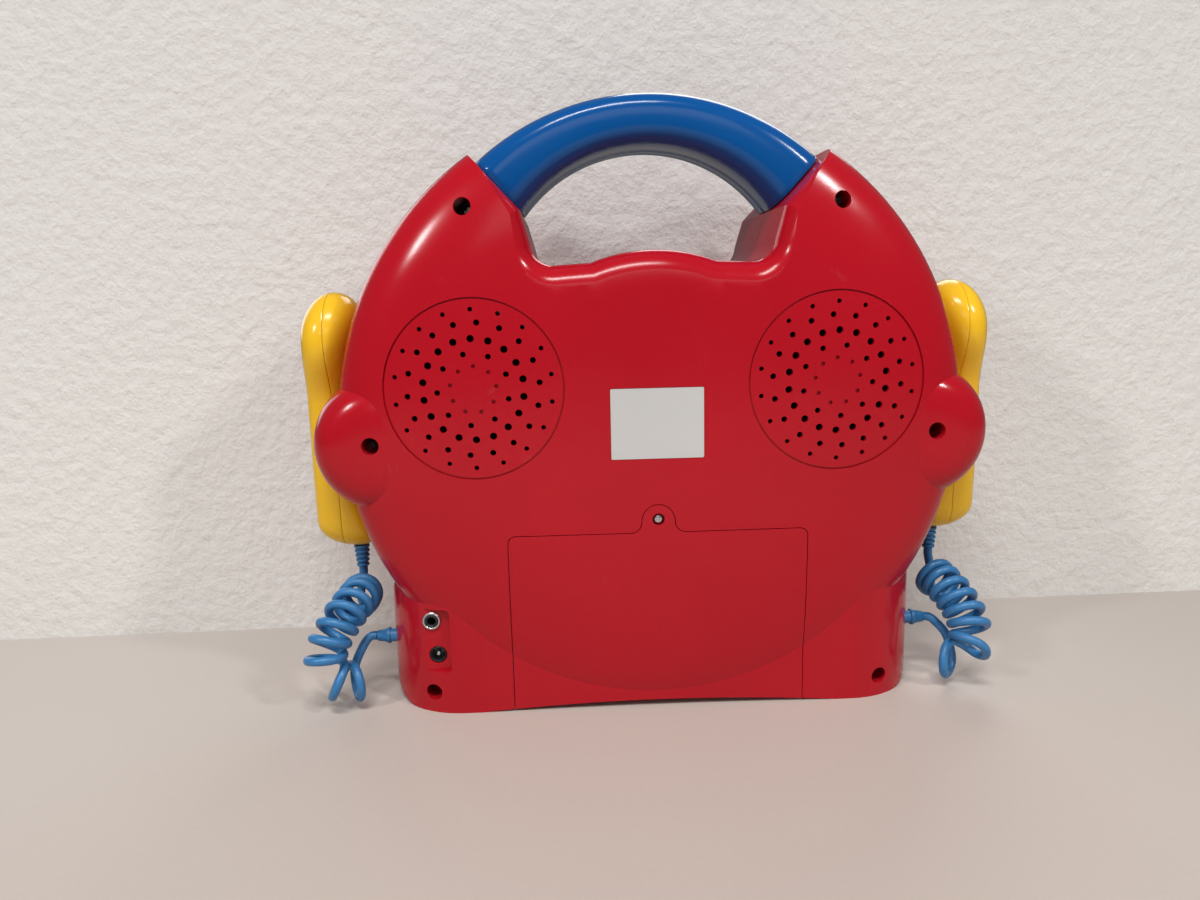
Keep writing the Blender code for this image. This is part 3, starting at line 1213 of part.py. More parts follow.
def make_chassis():
    """The drive's plate with lugs for the sled's rod and a pin for the gear."""
    wide, high = CHASSIS_HALF_WIDTH, CHASSIS_HALF_HEIGHT
    mesh = bmesh.new()
    add_block(mesh, (-wide, CHASSIS_Y, DISC_Z - high), (wide, CHASSIS_BACK_Y, DISC_Z + high))
    plate = mesh_object("chassis_plate", mesh)
    lug = 2 * ROD_RADIUS + 2 * GAP
    mesh = bmesh.new()
    for low_x, high_x in ((LUG_START_X - LUG_THICKNESS, LUG_START_X),
                          (LUG_END_X, LUG_END_X + LUG_THICKNESS)):
        add_block(mesh, (low_x, CHASSIS_Y + GAP, ROD_Z - lug), (high_x, ROD_Y + lug, ROD_Z + lug))
    add_rod(mesh, GEAR_PIN_RADIUS, (GEAR_X, CHASSIS_Y + GAP, GEAR_Z),
            (GEAR_X, DECK_Y + GEAR_THICKNESS + 3 * GAP, GEAR_Z))
    boolean(plate, mesh_object("chassis_lugs", mesh), "UNION")
    chassis = copy_of(plate, "deck_chassis", "steel")
    mesh = bmesh.new()
    add_rod(mesh, MOTOR_SHAFT_RADIUS + 2 * GAP, (0, CHASSIS_Y - OVERRUN, DISC_Z),
            (0, DECK_Y + OVERRUN, DISC_Z))
    add_rod(mesh, ROD_RADIUS + GAP, (LUG_START_X - LUG_THICKNESS - OVERRUN, ROD_Y, ROD_Z),
            (LUG_END_X + LUG_THICKNESS + OVERRUN, ROD_Y, ROD_Z))
    boolean(chassis, mesh_object("chassis_bores", mesh))
    boolean(chassis, pickup_slot("chassis_slot"))


def make_drive(pivots):
    seat_y = FRONT_Y + DISC_SEAT_DEPTH
    stem_end = seat_y - CHASSIS_Y + GAP
    bore, bore_top = MOTOR_SHAFT_RADIUS + GAP, HUB_BOSS_HEIGHT / 2
    boss_top, boss = HUB_BOSS_HEIGHT, BOSS_RADIUS
    hub = [(0, boss_top), (boss - GAP * 2, boss_top), (boss, boss_top - GAP * 2), (boss, 0),
           (HUB_RADIUS, 0), (HUB_RADIUS, -HUB_THICKNESS), (HUB_STEM_RADIUS, -HUB_THICKNESS),
           (HUB_STEM_RADIUS, stem_end), (bore, stem_end), (bore, bore_top), (0, bore_top)]
    turned("turntable", hub, (0, seat_y, DISC_Z), (0, -1, 0), ROUND_STEPS, "black_plastic",
           pivots["turntable"])
    shaft_top = DECK_Y - seat_y
    motor = [(0, shaft_top), (MOTOR_SHAFT_RADIUS, shaft_top), (MOTOR_SHAFT_RADIUS, 0),
             (MOTOR_RADIUS, 0), (MOTOR_RADIUS, -MOTOR_LENGTH), (0, -MOTOR_LENGTH)]
    turned("spindle_motor", motor, (0, DECK_Y, DISC_Z), (0, -1, 0), ROUND_STEPS, "steel")
    mesh = bmesh.new()
    add_rod(mesh, ROD_RADIUS, (LUG_START_X - LUG_THICKNESS, ROD_Y, ROD_Z),
            (LUG_END_X + LUG_THICKNESS, ROD_Y, ROD_Z))
    mesh_object("sled_rod", mesh, "steel")


def make_sled(pivot):
    mesh = bmesh.new()
    add_block(mesh, (SLED_START_X - SLED_HALF_WIDTH, DECK_Y, DISC_Z - SLED_HALF_HEIGHT),
              (SLED_START_X + SLED_HALF_WIDTH, DECK_Y + SLED_DEPTH, DISC_Z + SLED_HALF_HEIGHT))
    body = mesh_object("sled_body", mesh)
    mesh = bmesh.new()
    half = SLED_NECK_HALF
    add_block(mesh, (SLED_START_X - half, WELL_FLOOR_Y, DISC_Z - half),
              (SLED_START_X + half, DECK_Y + OVERRUN, DISC_Z + half))
    boolean(body, mesh_object("sled_neck", mesh), "UNION")
    mesh = bmesh.new()
    reach = SLED_HALF_WIDTH + OVERRUN
    add_rod(mesh, ROD_RADIUS + GAP, (SLED_START_X - reach, ROD_Y, ROD_Z),
            (SLED_START_X + reach, ROD_Y, ROD_Z))
    boolean(body, mesh_object("sled_bore", mesh))
    copy_of(body, "pickup_sled", "black_plastic", pivot)
    across_share, height_share = LENS_CROWN_SHARES
    lens = [(0, LENS_HEIGHT), (LENS_RADIUS * across_share, LENS_HEIGHT * height_share),
            (LENS_RADIUS, LENS_HEIGHT / 2), (LENS_RADIUS, 0), (0, 0)]
    turned("pickup_lens", lens, (SLED_START_X, WELL_FLOOR_Y - GAP, DISC_Z), (0, -1, 0), SMALL_STEPS,
           "lens_glass", pivot)


def make_gear(pivot):
    outline = []
    for tooth in range(GEAR_TEETH):
        for share, radius in ((0.0, GEAR_RADIUS - GEAR_TOOTH), (0.25, GEAR_RADIUS),
                              (0.5, GEAR_RADIUS), (0.75, GEAR_RADIUS - GEAR_TOOTH)):
            turn = 2 * math.pi * (tooth + share) / GEAR_TEETH
            outline.append((GEAR_X + radius * math.cos(turn), GEAR_Z + radius * math.sin(turn)))
    mesh = bmesh.new()
    add_front_prism(mesh, outline, DECK_Y + GAP, DECK_Y + GAP + GEAR_THICKNESS)
    gear = mesh_object("sled_gear", mesh, "white_plastic", pivot)
    mesh = bmesh.new()
    add_rod(mesh, GEAR_PIN_RADIUS + GAP, (GEAR_X, CHASSIS_Y, GEAR_Z),
            (GEAR_X, DECK_Y + 2 * GEAR_THICKNESS, GEAR_Z))
    boolean(gear, mesh_object("gear_bore", mesh))


# Handle

def handle_rings(inset, back_off):
    """Sections of the handle from the left horn to the right one."""
    inner_half, outer_half = HORN_INNER_X, HORN_OUTER_X
    inner_rise = HANDLE_INNER_Z - HORN_INNER_Z
    outer_rise = HANDLE_TOP_Z - HORN_OUTER_Z
    inner_radius = (inner_half ** 2 + inner_rise ** 2) / (2 * inner_rise)
    outer_radius = (outer_half ** 2 + outer_rise ** 2) / (2 * outer_rise)
    inner_turn = math.asin(inner_half / inner_radius)
    outer_turn = math.asin(outer_half / outer_radius)
    end = 1 - back_off / (outer_radius * outer_turn)
    rings = []
    for step in range(HANDLE_STEPS + 1):
        share = end * (2 * step / HANDLE_STEPS - 1)
        low = Vector((inner_radius * math.sin(inner_turn * share), 0,
                      HANDLE_INNER_Z - inner_radius * (1 - math.cos(inner_turn * share))))
        high = Vector((outer_radius * math.sin(outer_turn * share), 0,
                       HANDLE_TOP_Z - outer_radius * (1 - math.cos(outer_turn * share))))
        middle, reach = (low + high) / 2, (high - low) / 2
        reach *= 1 - inset / reach.length
        ring = []
        for angle in range(0, 360, HANDLE_ANGLE_STEP):
            turn = math.radians(angle)
            place = middle + reach * blunt(math.cos(turn), HANDLE_POWER)
            across = (HANDLE_HALF_DEPTH - inset) * blunt(math.sin(turn), HANDLE_POWER)
            ring.append((place.x, PARTING_Y + across, place.z))
        rings.append(ring)
    return rings


def make_handle():
    """A hollow handle whose two spigots stand in the horns and are open at their ends."""
    mesh = bmesh.new()
    add_loft(mesh, handle_rings(0, 2 * GAP))
    body = mesh_object("handle_body", mesh)
    mesh = bmesh.new()
    add_spigots(mesh, SPIGOT_RADIUS, HANDLE_WALL, SPIGOT_LENGTH)
    boolean(body, mesh_object("handle_spigots", mesh), "UNION")
    handle = copy_of(body, "handle", "blue_plastic")
    mesh = bmesh.new()
    add_loft(mesh, handle_rings(HANDLE_WALL, HANDLE_WALL + 2 * GAP))
    hollow = mesh_object("handle_space", mesh)
    mesh = bmesh.new()
    add_spigots(mesh, SPIGOT_RADIUS - HANDLE_WALL, 2 * HANDLE_WALL, SPIGOT_LENGTH + OVERRUN)
    boolean(hollow, mesh_object("spigot_bores", mesh), "UNION")
    boolean(handle, copy_of(hollow, "handle_hollow"))


# Microphones

def casing_x(z):
    return math.sqrt((DISC_RADIUS + MIC_SEAT) ** 2 - (z - DISC_Z) ** 2)


def microphone_section(z):
    """Inner and outer X with half the width of the handset at a height."""
    fullness = 1.0
    if z > MIC_HEAD_Z:
        fullness = math.sqrt(max(0.0, 1 - ((z - MIC_HEAD_Z) / (MIC_TOP_Z - MIC_HEAD_Z)) ** 2))
    elif z < MIC_BULB_Z:
        fullness = math.sqrt(max(0.0, 1 - ((MIC_BULB_Z - z) / (MIC_BULB_Z - MIC_BOTTOM_Z)) ** 2))
    rise = ease((z - MIC_TAIL_Z) / (MIC_SHOULDER_Z - MIC_TAIL_Z))
    middle = MIC_TAIL_X + (MIC_CROWN_X - MIC_TAIL_X) * rise
    outer = middle + (MIC_OUTER_X - middle) * fullness
    inner = middle - (middle - casing_x(z)) * fullness
    swell = ease((z - MIC_GRIP_HIGH_Z) / (MIC_HEAD_Z - MIC_GRIP_HIGH_Z))
    taper = ease((MIC_GRIP_LOW_Z - z) / (MIC_GRIP_LOW_Z - MIC_BULB_Z))
    half = MIC_GRIP_HALF + (MIC_HEAD_HALF - MIC_GRIP_HALF) * swell \
        + (MIC_BULB_HALF - MIC_GRIP_HALF) * taper
    return inner, outer, half * fullness


def microphone_heights():
    quarter = [math.radians(90 * step / MIC_CAP_STEPS) for step in range(MIC_CAP_STEPS)]
    low = [MIC_BULB_Z - (MIC_BULB_Z - MIC_BOTTOM_Z) * math.sin(angle) for angle in reversed(quarter)]
    high = [MIC_HEAD_Z + (MIC_TOP_Z - MIC_HEAD_Z) * math.sin(angle) for angle in quarter]
    body = [MIC_BULB_Z + (MIC_HEAD_Z - MIC_BULB_Z) * step / MIC_BODY_STEPS
            for step in range(1, MIC_BODY_STEPS)]
    return low + body + high


def handset(name, side):
    """A whole handset as a thickened skin, before it is split into two shells."""
    rings = []
    for z in microphone_heights():
        inner_x, outer_x, half = microphone_section(z)
        middle, reach = (outer_x + inner_x) / 2, (outer_x - inner_x) / 2
        ring = []
        for step in range(MIC_STEPS):
            turn = 2 * math.pi * step / MIC_STEPS
            ring.append((side * (middle + reach * blunt(math.cos(turn), MIC_POWER)),
                         PARTING_Y + half * blunt(math.sin(turn), MIC_POWER), z))
        rings.append(ring)
    mesh = bmesh.new()
    rows = add_loft(mesh, rings, capped=False)
    for row, z in ((rows[0], MIC_BOTTOM_Z), (rows[-1], MIC_TOP_Z)):
        pole = mesh.verts.new((side * microphone_section(z)[0], PARTING_Y, z))
        for one, two in zip(row, row[1:] + row[:1]):
            mesh.faces.new((one, two, pole))
    shell = mesh_object(name, mesh)
    skin = shell.modifiers.new("wall", "SOLIDIFY")
    skin.thickness = MIC_WALL
    skin.offset = -1
    skin.use_even_offset = True
    return shell


def half_space(name, side, outer):
    """A block over one half of a handset, up to its parting plane."""
    reach = MIC_OUTER_X - MIC_PARTING_X + OVERRUN
    near = MIC_PARTING_X + (GAP / 2 if outer else -GAP / 2)
    far = near + (reach if outer else -reach)
    low_x, high_x = sorted((side * near, side * far))
    mesh = bmesh.new()
    add_block(mesh, (low_x, PARTING_Y - MIC_HEAD_HALF - OVERRUN, MIC_BOTTOM_Z - OVERRUN),
              (high_x, PARTING_Y + MIC_HEAD_HALF + OVERRUN, MIC_TOP_Z + OVERRUN))
    return mesh_object(name, mesh)


def make_microphone(side_name, side, pivot):
    name = "microphone_" + side_name
    neck_x = MIC_TAIL_X
    whole = handset(name + "_skin", side)
    mesh = bmesh.new()
    add_rod(mesh, RELIEF_NECK_RADIUS + GAP, (side * neck_x, PARTING_Y, MIC_BOTTOM_Z - OVERRUN),
            (side * neck_x, PARTING_Y, MIC_BOTTOM_Z + RELIEF_NECK_LENGTH))
    bore = mesh_object(name + "_neck_bore", mesh)
    halves = []
    for half_name, is_outer in (("_inner_shell", False), ("_outer_shell", True)):
        cutter = half_space(name + half_name + "_space", side, is_outer)
        halves.append(carved(whole, [cutter], name + half_name + "_half", operation="INTERSECT"))
    carved(halves[0], [bore], name + "_inner_shell", "yellow_plastic", pivot)
    mesh = bmesh.new()
    add_rod(mesh, MESH_RADIUS + 2 * GAP, (side * (MESH_X - 2 * OVERRUN), PARTING_Y, MESH_Z),
            (side * (MIC_OUTER_X + 2 * OVERRUN), PARTING_Y, MESH_Z), ROUND_STEPS)
    hole = mesh_object(name + "_grille_hole", mesh)
    carved(halves[1], [hole], name + "_outer_shell", "yellow_plastic", pivot)

    bulge = [(share, MESH_BULGE * (1 - share * share)) for share in MESH_BULGE_SHARES]
    inner = 1 - MESH_THICKNESS / MESH_RADIUS
    grille = [(MESH_RADIUS * share, height) for share, height in bulge]
    grille += [(MESH_RADIUS, -MESH_LIP), (MESH_RADIUS * inner, -MESH_LIP)]
    grille += [(MESH_RADIUS * inner * share, height - MESH_THICKNESS)
               for share, height in reversed(bulge)]
    place = (side * MESH_X, PARTING_Y, MESH_Z)
    turned(name + "_grille", grille, place, (side, 0, 0), SMALL_STEPS, "black_plastic", pivot)

    flange = -MESH_LIP - GAP
    face = -GAP
    capsule = [(0, face), (CAPSULE_RADIUS, face), (CAPSULE_RADIUS, flange), (MESH_RADIUS, flange),
               (MESH_RADIUS, flange - BOX_WALL / 2), (CAPSULE_RADIUS, flange - BOX_WALL / 2),
               (CAPSULE_RADIUS, flange - CAPSULE_LENGTH), (0, flange - CAPSULE_LENGTH)]
    turned(name + "_capsule", capsule, place, (side, 0, 0), SMALL_STEPS, "steel", pivot)

    neck, top = RELIEF_NECK_RADIUS, -GAP
    relief = [(0, RELIEF_NECK_LENGTH - GAP), (neck, RELIEF_NECK_LENGTH - GAP), (neck, top)]
    rib = RELIEF_LENGTH / (2 * RELIEF_RIBS - 1)
    for step in range(2 * RELIEF_RIBS - 1):
        radius = RELIEF_RADIUS - (RELIEF_GROOVE if step % 2 else 0)
        relief += [(radius, top - rib * step), (radius, top - rib * (step + 1))]
    relief += [(0, top - RELIEF_LENGTH)]
    turned(name + "_relief", relief, (side * neck_x, PARTING_Y, MIC_BOTTOM_Z), (0, 0, 1),
           TRIM_STEPS, "blue_cord", pivot)


# Curly cords: a helix about a bent axis, with leads that run square into what they meet

def route(places, step):
    """Evenly spaced places on a smooth curve through places chosen by hand."""
    places = np.array(places)
    padded = np.vstack((2 * places[0] - places[1], places, 2 * places[-1] - places[-2]))
    fine = []
    for index in range(len(places) - 1):
        before, start, end, after = padded[index:index + 4]
        for share in np.linspace(0, 1, ROUTE_SAMPLES, endpoint=False):
            fine.append(0.5 * (2 * start + (end - before) * share
                               + (2 * before - 5 * start + 4 * end - after) * share ** 2
                               + (3 * start - before - 3 * end + after) * share ** 3))
    return even(np.array(fine + [places[-1]]), step)


def even(places, step):
    """Places spread evenly along a run of places."""
    run = np.concatenate(([0], np.cumsum(np.linalg.norm(np.diff(places, axis=0), axis=1))))
    marks = np.linspace(0, run[-1], int(run[-1] / step) + 1)
    return np.stack([np.interp(marks, run, places[:, axis]) for axis in range(3)], axis=1)


def eased(places, reach):
    """Places averaged with their neighbours, which rounds the bends between chosen places."""
    count = int(reach / CURL_STEP)
    ahead = 2 * places[0] - places[count:0:-1]
    behind = 2 * places[-1] - places[-2:-count - 2:-1]
    padded = np.vstack((ahead, places, behind))
    kernel = np.hanning(2 * count + 3)[1:-1]
    kernel /= kernel.sum()
    return np.stack([np.convolve(padded[:, axis], kernel, "valid") for axis in range(3)], axis=1)


def helix(axis_places, start_side):
    """Curls about an axis; they open out where the axis bends, so that none touch."""
    axis = even(eased(route(axis_places, CURL_STEP), CURL_EASE), CURL_STEP)
    tangents = np.gradient(axis, axis=0)
    tangents /= np.linalg.norm(tangents, axis=1)[:, None]
    bends = np.linalg.norm(np.gradient(tangents, axis=0), axis=1) / CURL_STEP
    side = np.array(start_side, dtype=float)
    turn, marks, rings = 0.0, [], []
    for tangent, bend in zip(tangents, bends):
        side -= tangent * side.dot(tangent)
        side /= np.linalg.norm(side)
        marks.append(turn)
        rings.append((side.copy(), np.cross(tangent, side)))
        open_pitch = (2 * CORD_RADIUS + CURL_SPACE) / max(1 - CURL_RADIUS * bend, CURL_CLOSEST_SHARE)
        turn += 2 * math.pi * CURL_STEP / max(CURL_PITCH, open_pitch)
    count = int(turn * CURL_POINTS / (2 * math.pi))
    marks = np.array(marks)
    places = []
    for step in range(count + 1):
        angle = 2 * math.pi * step / CURL_POINTS
        at = np.interp(angle, marks, np.arange(len(marks)))
        low = min(int(at), len(axis) - 2)
        share = at - low
        middle = axis[low] * (1 - share) + axis[low + 1] * share
        first, second = rings[low]
        places.append(middle + CURL_RADIUS * (first * math.cos(angle) + second * math.sin(angle)))
    return np.array(places)


def least_gap(places):
    """The least space between two stretches of a cord that aren't neighbours along it."""
    run = np.concatenate(([0], np.cumsum(np.linalg.norm(np.diff(places, axis=0), axis=1))))
    marks = np.arange(0, run[-1], CORD_RADIUS / 4)
    fine = np.stack([np.interp(marks, run, places[:, axis]) for axis in range(3)], axis=1)
    apart = np.linalg.norm(fine[:, None] - fine[None], axis=2)
    along = np.abs(marks[:, None] - marks[None])
    return apart[along > NEIGHBOUR_RADII * CORD_RADIUS].min() - 2 * CORD_RADIUS


def make_cord(side_name, side, lead_in, axis_places, lead_out, start_side, dropped):
    """One cord from the handset's strain relief to the gland in the casing."""
    mirror = np.array((side, 1, 1))
    neck_x = MIC_TAIL_X
    relief_z = MIC_BOTTOM_Z - 2 * GAP - RELIEF_LENGTH
    straight = 2 * CORD_RADIUS
    start = [(neck_x, PARTING_Y, relief_z), (neck_x, PARTING_Y, relief_z - straight)]
    tip = BASE_HALF_WIDTH + GLAND_LENGTH + GAP
    end = [(tip + straight, GLAND_Y, GLAND_Z), (tip, GLAND_Y, GLAND_Z)]
    curls = helix(axis_places, start_side)
    curls = curls[:len(curls) - dropped]
    leads = []
    for places in (start + lead_in + [tuple(curls[0]), tuple(curls[1])],
                   [tuple(curls[-2]), tuple(curls[-1])] + lead_out + end):
        leads.append(route(places, CORD_LEAD_STEP))
    places = np.vstack((leads[0], curls[2:-2], leads[1]))
    name = "cord_" + side_name
    print(name, "curls", len(curls) / CURL_POINTS, "least gap in metres", least_gap(places),
          "lowest place", places[:, 2].min() - CORD_RADIUS)
    tube(name, [tuple(place) for place in places * mirror], CORD_RADIUS, 1, "blue_cord")


def make_cords():
    make_cord("right", 1, [(0.128, 0.0075, 0.0465)],
              [(0.126, 0.015, 0.0445), (0.1275, 0.026, 0.0435), (0.132, 0.036, 0.038),
               (0.137, 0.041, 0.028), (0.1375, 0.041, 0.018), (0.131, 0.038, 0.012),
               (0.123, 0.033, 0.0116)],
              [(0.1305, 0.022, 0.0195), (0.128, 0.0215, 0.0246)], (0.7, 0.3, -0.7), 5)
    make_cord("left", -1, [(0.128, 0.0075, 0.0465)],
              [(0.125, 0.018, 0.0445), (0.129, 0.028, 0.040), (0.133, 0.037, 0.031),
               (0.133, 0.042, 0.0195), (0.128, 0.037, 0.012), (0.1225, 0.029, 0.012)],
              [(0.130, 0.022, 0.0195), (0.128, 0.0215, 0.0246)], (0.0, 0.3, -1.0), 7)


def button_pivots():
    return {name: pivot_at("pivot_" + name, (x, FLANGE_Y, z))
            for name, (x, z, radius) in button_places().items()}


def make_pivots():
    pivots = button_pivots()
    for name, place in (
            ("battery_door", (0, REAR_Y, BAY_MIDDLE_Z)),
            ("power_switch", (BASE_HALF_WIDTH, SWITCH_Y, SWITCH_Z - SWITCH_TRAVEL / 2)),
            ("volume_knob", (-KNOB_X, FRONT_Y, DISC_Z)),
            ("microphone_volume_knob", (KNOB_X, FRONT_Y, DISC_Z)),
            ("disc_lid", (0, HINGE_Y, HINGE_Z)),
            ("turntable", (0, FRONT_Y + DISC_SEAT_DEPTH, DISC_Z)),
            ("pickup_sled", (SLED_START_X, DECK_Y, DISC_Z)),
            ("sled_gear", (GEAR_X, DECK_Y, GEAR_Z)),
            ("microphone_left", (-MIC_CROWN_X, PARTING_Y, DISC_Z)),
            ("microphone_right", (MIC_CROWN_X, PARTING_Y, DISC_Z))):
        pivots[name] = pivot_at("pivot_" + name, place)
    return pivots


def build():
    clear_scene()
    make_materials()
    pivots = make_pivots()
    make_rear(pivots)
    make_battery_box()
    make_contacts()
    make_screws()
    make_speakers()
    make_sockets()
    make_switch(pivots["power_switch"])
    make_glands()
    make_front()
    make_buttons(pivots)
    make_knobs(pivots)
    make_display()
    make_boards()
    make_lid(pivots["disc_lid"])
    make_well()
    make_chassis()
    make_drive(pivots)
    make_sled(pivots["pickup_sled"])
    make_gear(pivots["sled_gear"])
    make_handle()
    for side_name, side in SIDES:
        make_microphone(side_name, side, pivots["microphone_" + side_name])
    make_cords()


build()
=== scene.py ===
import json
import math

import bmesh
import bpy
import numpy as np
from mathutils import Matrix, Vector

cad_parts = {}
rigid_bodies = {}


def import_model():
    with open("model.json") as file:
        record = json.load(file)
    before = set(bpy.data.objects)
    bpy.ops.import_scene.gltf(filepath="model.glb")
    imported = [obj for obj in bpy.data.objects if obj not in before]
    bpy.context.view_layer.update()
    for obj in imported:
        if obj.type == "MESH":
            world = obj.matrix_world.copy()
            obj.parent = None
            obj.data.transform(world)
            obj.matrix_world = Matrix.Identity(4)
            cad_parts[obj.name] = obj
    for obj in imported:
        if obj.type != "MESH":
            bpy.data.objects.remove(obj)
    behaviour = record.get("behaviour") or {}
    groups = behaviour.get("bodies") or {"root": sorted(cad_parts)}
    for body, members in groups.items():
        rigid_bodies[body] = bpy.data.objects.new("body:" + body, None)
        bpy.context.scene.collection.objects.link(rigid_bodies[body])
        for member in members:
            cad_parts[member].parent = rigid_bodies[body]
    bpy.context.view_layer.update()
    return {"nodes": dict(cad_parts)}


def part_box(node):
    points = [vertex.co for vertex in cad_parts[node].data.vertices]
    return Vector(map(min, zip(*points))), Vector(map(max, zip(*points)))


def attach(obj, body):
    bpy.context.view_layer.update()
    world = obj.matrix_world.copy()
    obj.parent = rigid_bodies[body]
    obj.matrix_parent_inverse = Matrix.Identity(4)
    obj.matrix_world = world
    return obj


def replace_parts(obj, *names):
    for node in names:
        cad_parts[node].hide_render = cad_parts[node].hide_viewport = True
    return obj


for leftover in list(bpy.data.objects):
    bpy.data.objects.remove(leftover, do_unlink=True)
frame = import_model()
nodes = frame["nodes"]
mm = 0.001  # sizes below are in millimetres

# Main sizes of the casing that several pieces share
casing = {
    "discRadius": 128.5, "discZ": 118.8, "partingY": 5.5, "rearDepth": 45.0, "frontDepth": 50.0,
    "domePower": 5.5, "wall": 2.5, "baseHalf": 113.0, "baseTop": 60.0, "baseStep": 4.8,
    "baseCorner": 32.0, "footRadius": 12.0, "shoulderRadius": 18.0, "archHalf": 75.0,
    "archRise": 3.0, "domeSteps": 160, "domeRings": 36, "start": 0.15, "past": 3,
}
smallest = 0.001  # a turned form narrows to this radius and no further
sides = (("left", -1), ("right", 1))


# Small tools

def startFresh():
    if bpy.context.object and bpy.context.object.mode != "OBJECT":
        bpy.ops.object.mode_set(mode="OBJECT")
    bpy.ops.object.select_all(action="DESELECT")


def pick(*pieces):
    startFresh()
    for piece in pieces:
        piece.select_set(True)
    bpy.context.view_layer.objects.active = pieces[0]


def settle(piece):  # its place, turn and size go into the mesh
    pick(piece)
    bpy.ops.object.transform_apply(location=True, rotation=True, scale=True)
    return piece


def editAll(piece):
    pick(piece)
    bpy.ops.object.mode_set(mode="EDIT")
    bpy.ops.mesh.select_all(action="SELECT")


def leaveEdit():
    bpy.ops.object.mode_set(mode="OBJECT")


def faceOutwards(piece):
    editAll(piece)
    bpy.ops.mesh.remove_doubles(threshold=0.000005)
    bpy.ops.mesh.normals_make_consistent(inside=False)
    leaveEdit()
    return piece


def turnedForm(name, place, axis, profile, steps=48, closed=False):
    # a circle is extruded and sized along the axis; profile holds radius and height in millimetres
    place, axis = Vector(place) * mm, Vector(axis)
    turn = Vector((0, 0, 1)).rotation_difference(axis)
    profile = [(max(radius, smallest), height) for radius, height in profile]
    radius, height = profile[0]
    startFresh()
    bpy.ops.mesh.primitive_circle_add(vertices=steps, radius=radius * mm,
                                      fill_type="NOTHING" if closed else "NGON",
                                      location=place + axis * height * mm, rotation=turn.to_euler())
    piece = bpy.context.object
    piece.name = name
    settle(piece)
    editAll(piece)
    bpy.ops.mesh.select_mode(type="EDGE" if closed else "FACE")
    bpy.ops.mesh.select_all(action="SELECT")
    extrude = bpy.ops.mesh.extrude_edges_move if closed else bpy.ops.mesh.extrude_region_move
    for nextRadius, nextHeight in profile[1:]:
        extrude(TRANSFORM_OT_translate={"value": axis * (nextHeight - height) * mm})
        share = nextRadius / radius
        if abs(share - 1) > 1e-6:
            bpy.ops.transform.resize(value=(share, share, share),
                                     center_override=place + axis * nextHeight * mm)
        radius, height = nextRadius, nextHeight
    if not closed and radius < 10 * smallest:
        bpy.ops.mesh.merge(type="CENTER")
    leaveEdit()
    return faceOutwards(piece)


def drawnForm(name, rings):
    # a ring of points is extruded and each new ring is put on its own places, in millimetres
    startFresh()
    bpy.ops.mesh.primitive_circle_add(vertices=len(rings[0]), radius=mm, fill_type="NGON")
    piece = bpy.context.object
    piece.name = name
    for vertex, place in zip(piece.data.vertices, rings[0]):
        vertex.co = Vector(place) * mm
    editAll(piece)
    bpy.ops.mesh.select_mode(type="FACE")
    bpy.ops.mesh.select_all(action="SELECT")
    for before, after in zip(rings, rings[1:]):
        bpy.ops.mesh.extrude_region_move(TRANSFORM_OT_translate={"value": (0, 0, 0)})
        live = bmesh.from_edit_mesh(piece.data)
        chosen = [vertex for vertex in live.verts if vertex.select]
        spots = np.array([vertex.co for vertex in chosen])
        for old, new in zip(before, after):
            nearest = int(np.argmin(np.sum((spots - np.array(old) * mm) ** 2, axis=1)))
            chosen[nearest].co = Vector(new) * mm
        bmesh.update_edit_mesh(piece.data)
    leaveEdit()
    return faceOutwards(piece)


def boxForm(name, low, high, bevel=0.0, segments=3, pickEdge=None):
    # a cube at its size and place, in millimetres, with the picked edges rounded
    low, high = Vector(low), Vector(high)
    startFresh()
    bpy.ops.mesh.primitive_cube_add(size=1, location=(low + high) / 2 * mm,
                                    scale=(high - low) * mm)
    piece = bpy.context.object
    piece.name = name
    settle(piece)
    if bevel:
        roundEdges(piece, bevel, segments, pickEdge)
    return piece


def roundEdges(piece, width, segments, pickEdge=None):
    editAll(piece)
    bpy.ops.mesh.select_mode(type="EDGE")
    bpy.ops.mesh.select_all(action="DESELECT")
    live = bmesh.from_edit_mesh(piece.data)
    for edge in live.edges:
        one, two = edge.verts[0].co / mm, edge.verts[1].co / mm
        edge.select_set(pickEdge is None or pickEdge((one + two) / 2, (two - one).normalized()))
    live.select_flush_mode()
    bmesh.update_edit_mesh(piece.data)
    bpy.ops.mesh.bevel(offset=width * mm, segments=segments, affect="EDGES")
    leaveEdit()
    return piece


def shift(piece, step):  # the mesh moves, by millimetres
    editAll(piece)
    bpy.ops.transform.translate(value=[length * mm for length in step])
    leaveEdit()
    return piece


def twin(piece, name):
    pick(piece)
    bpy.ops.object.duplicate(linked=False)
    double = bpy.context.object
    double.name = name
    return double


def spread(model, name, places):  # a twin of the model at each x and z; the model itself goes
    twins = []
    for number, (x, z) in enumerate(places):
        twins.append(twin(model, f"{name}{number}"))
        bpy.ops.transform.translate(value=(x * mm, 0, z * mm))
        bpy.ops.object.transform_apply(location=True)
    bpy.data.objects.remove(model, do_unlink=True)
    return twins


def joined(name, pieces):
    pick(*pieces)
    if len(pieces) > 1:
        bpy.ops.object.join()
    pieces[0].name = name
    return pieces[0]


def combine(piece, tool, operation="DIFFERENCE"):
    cut = piece.modifiers.new("cut", "BOOLEAN")
    cut.object, cut.operation, cut.solver = tool, operation, "EXACT"
    pick(piece)
    bpy.ops.object.modifier_apply(modifier="cut")
    bpy.data.objects.remove(tool, do_unlink=True)
    return piece


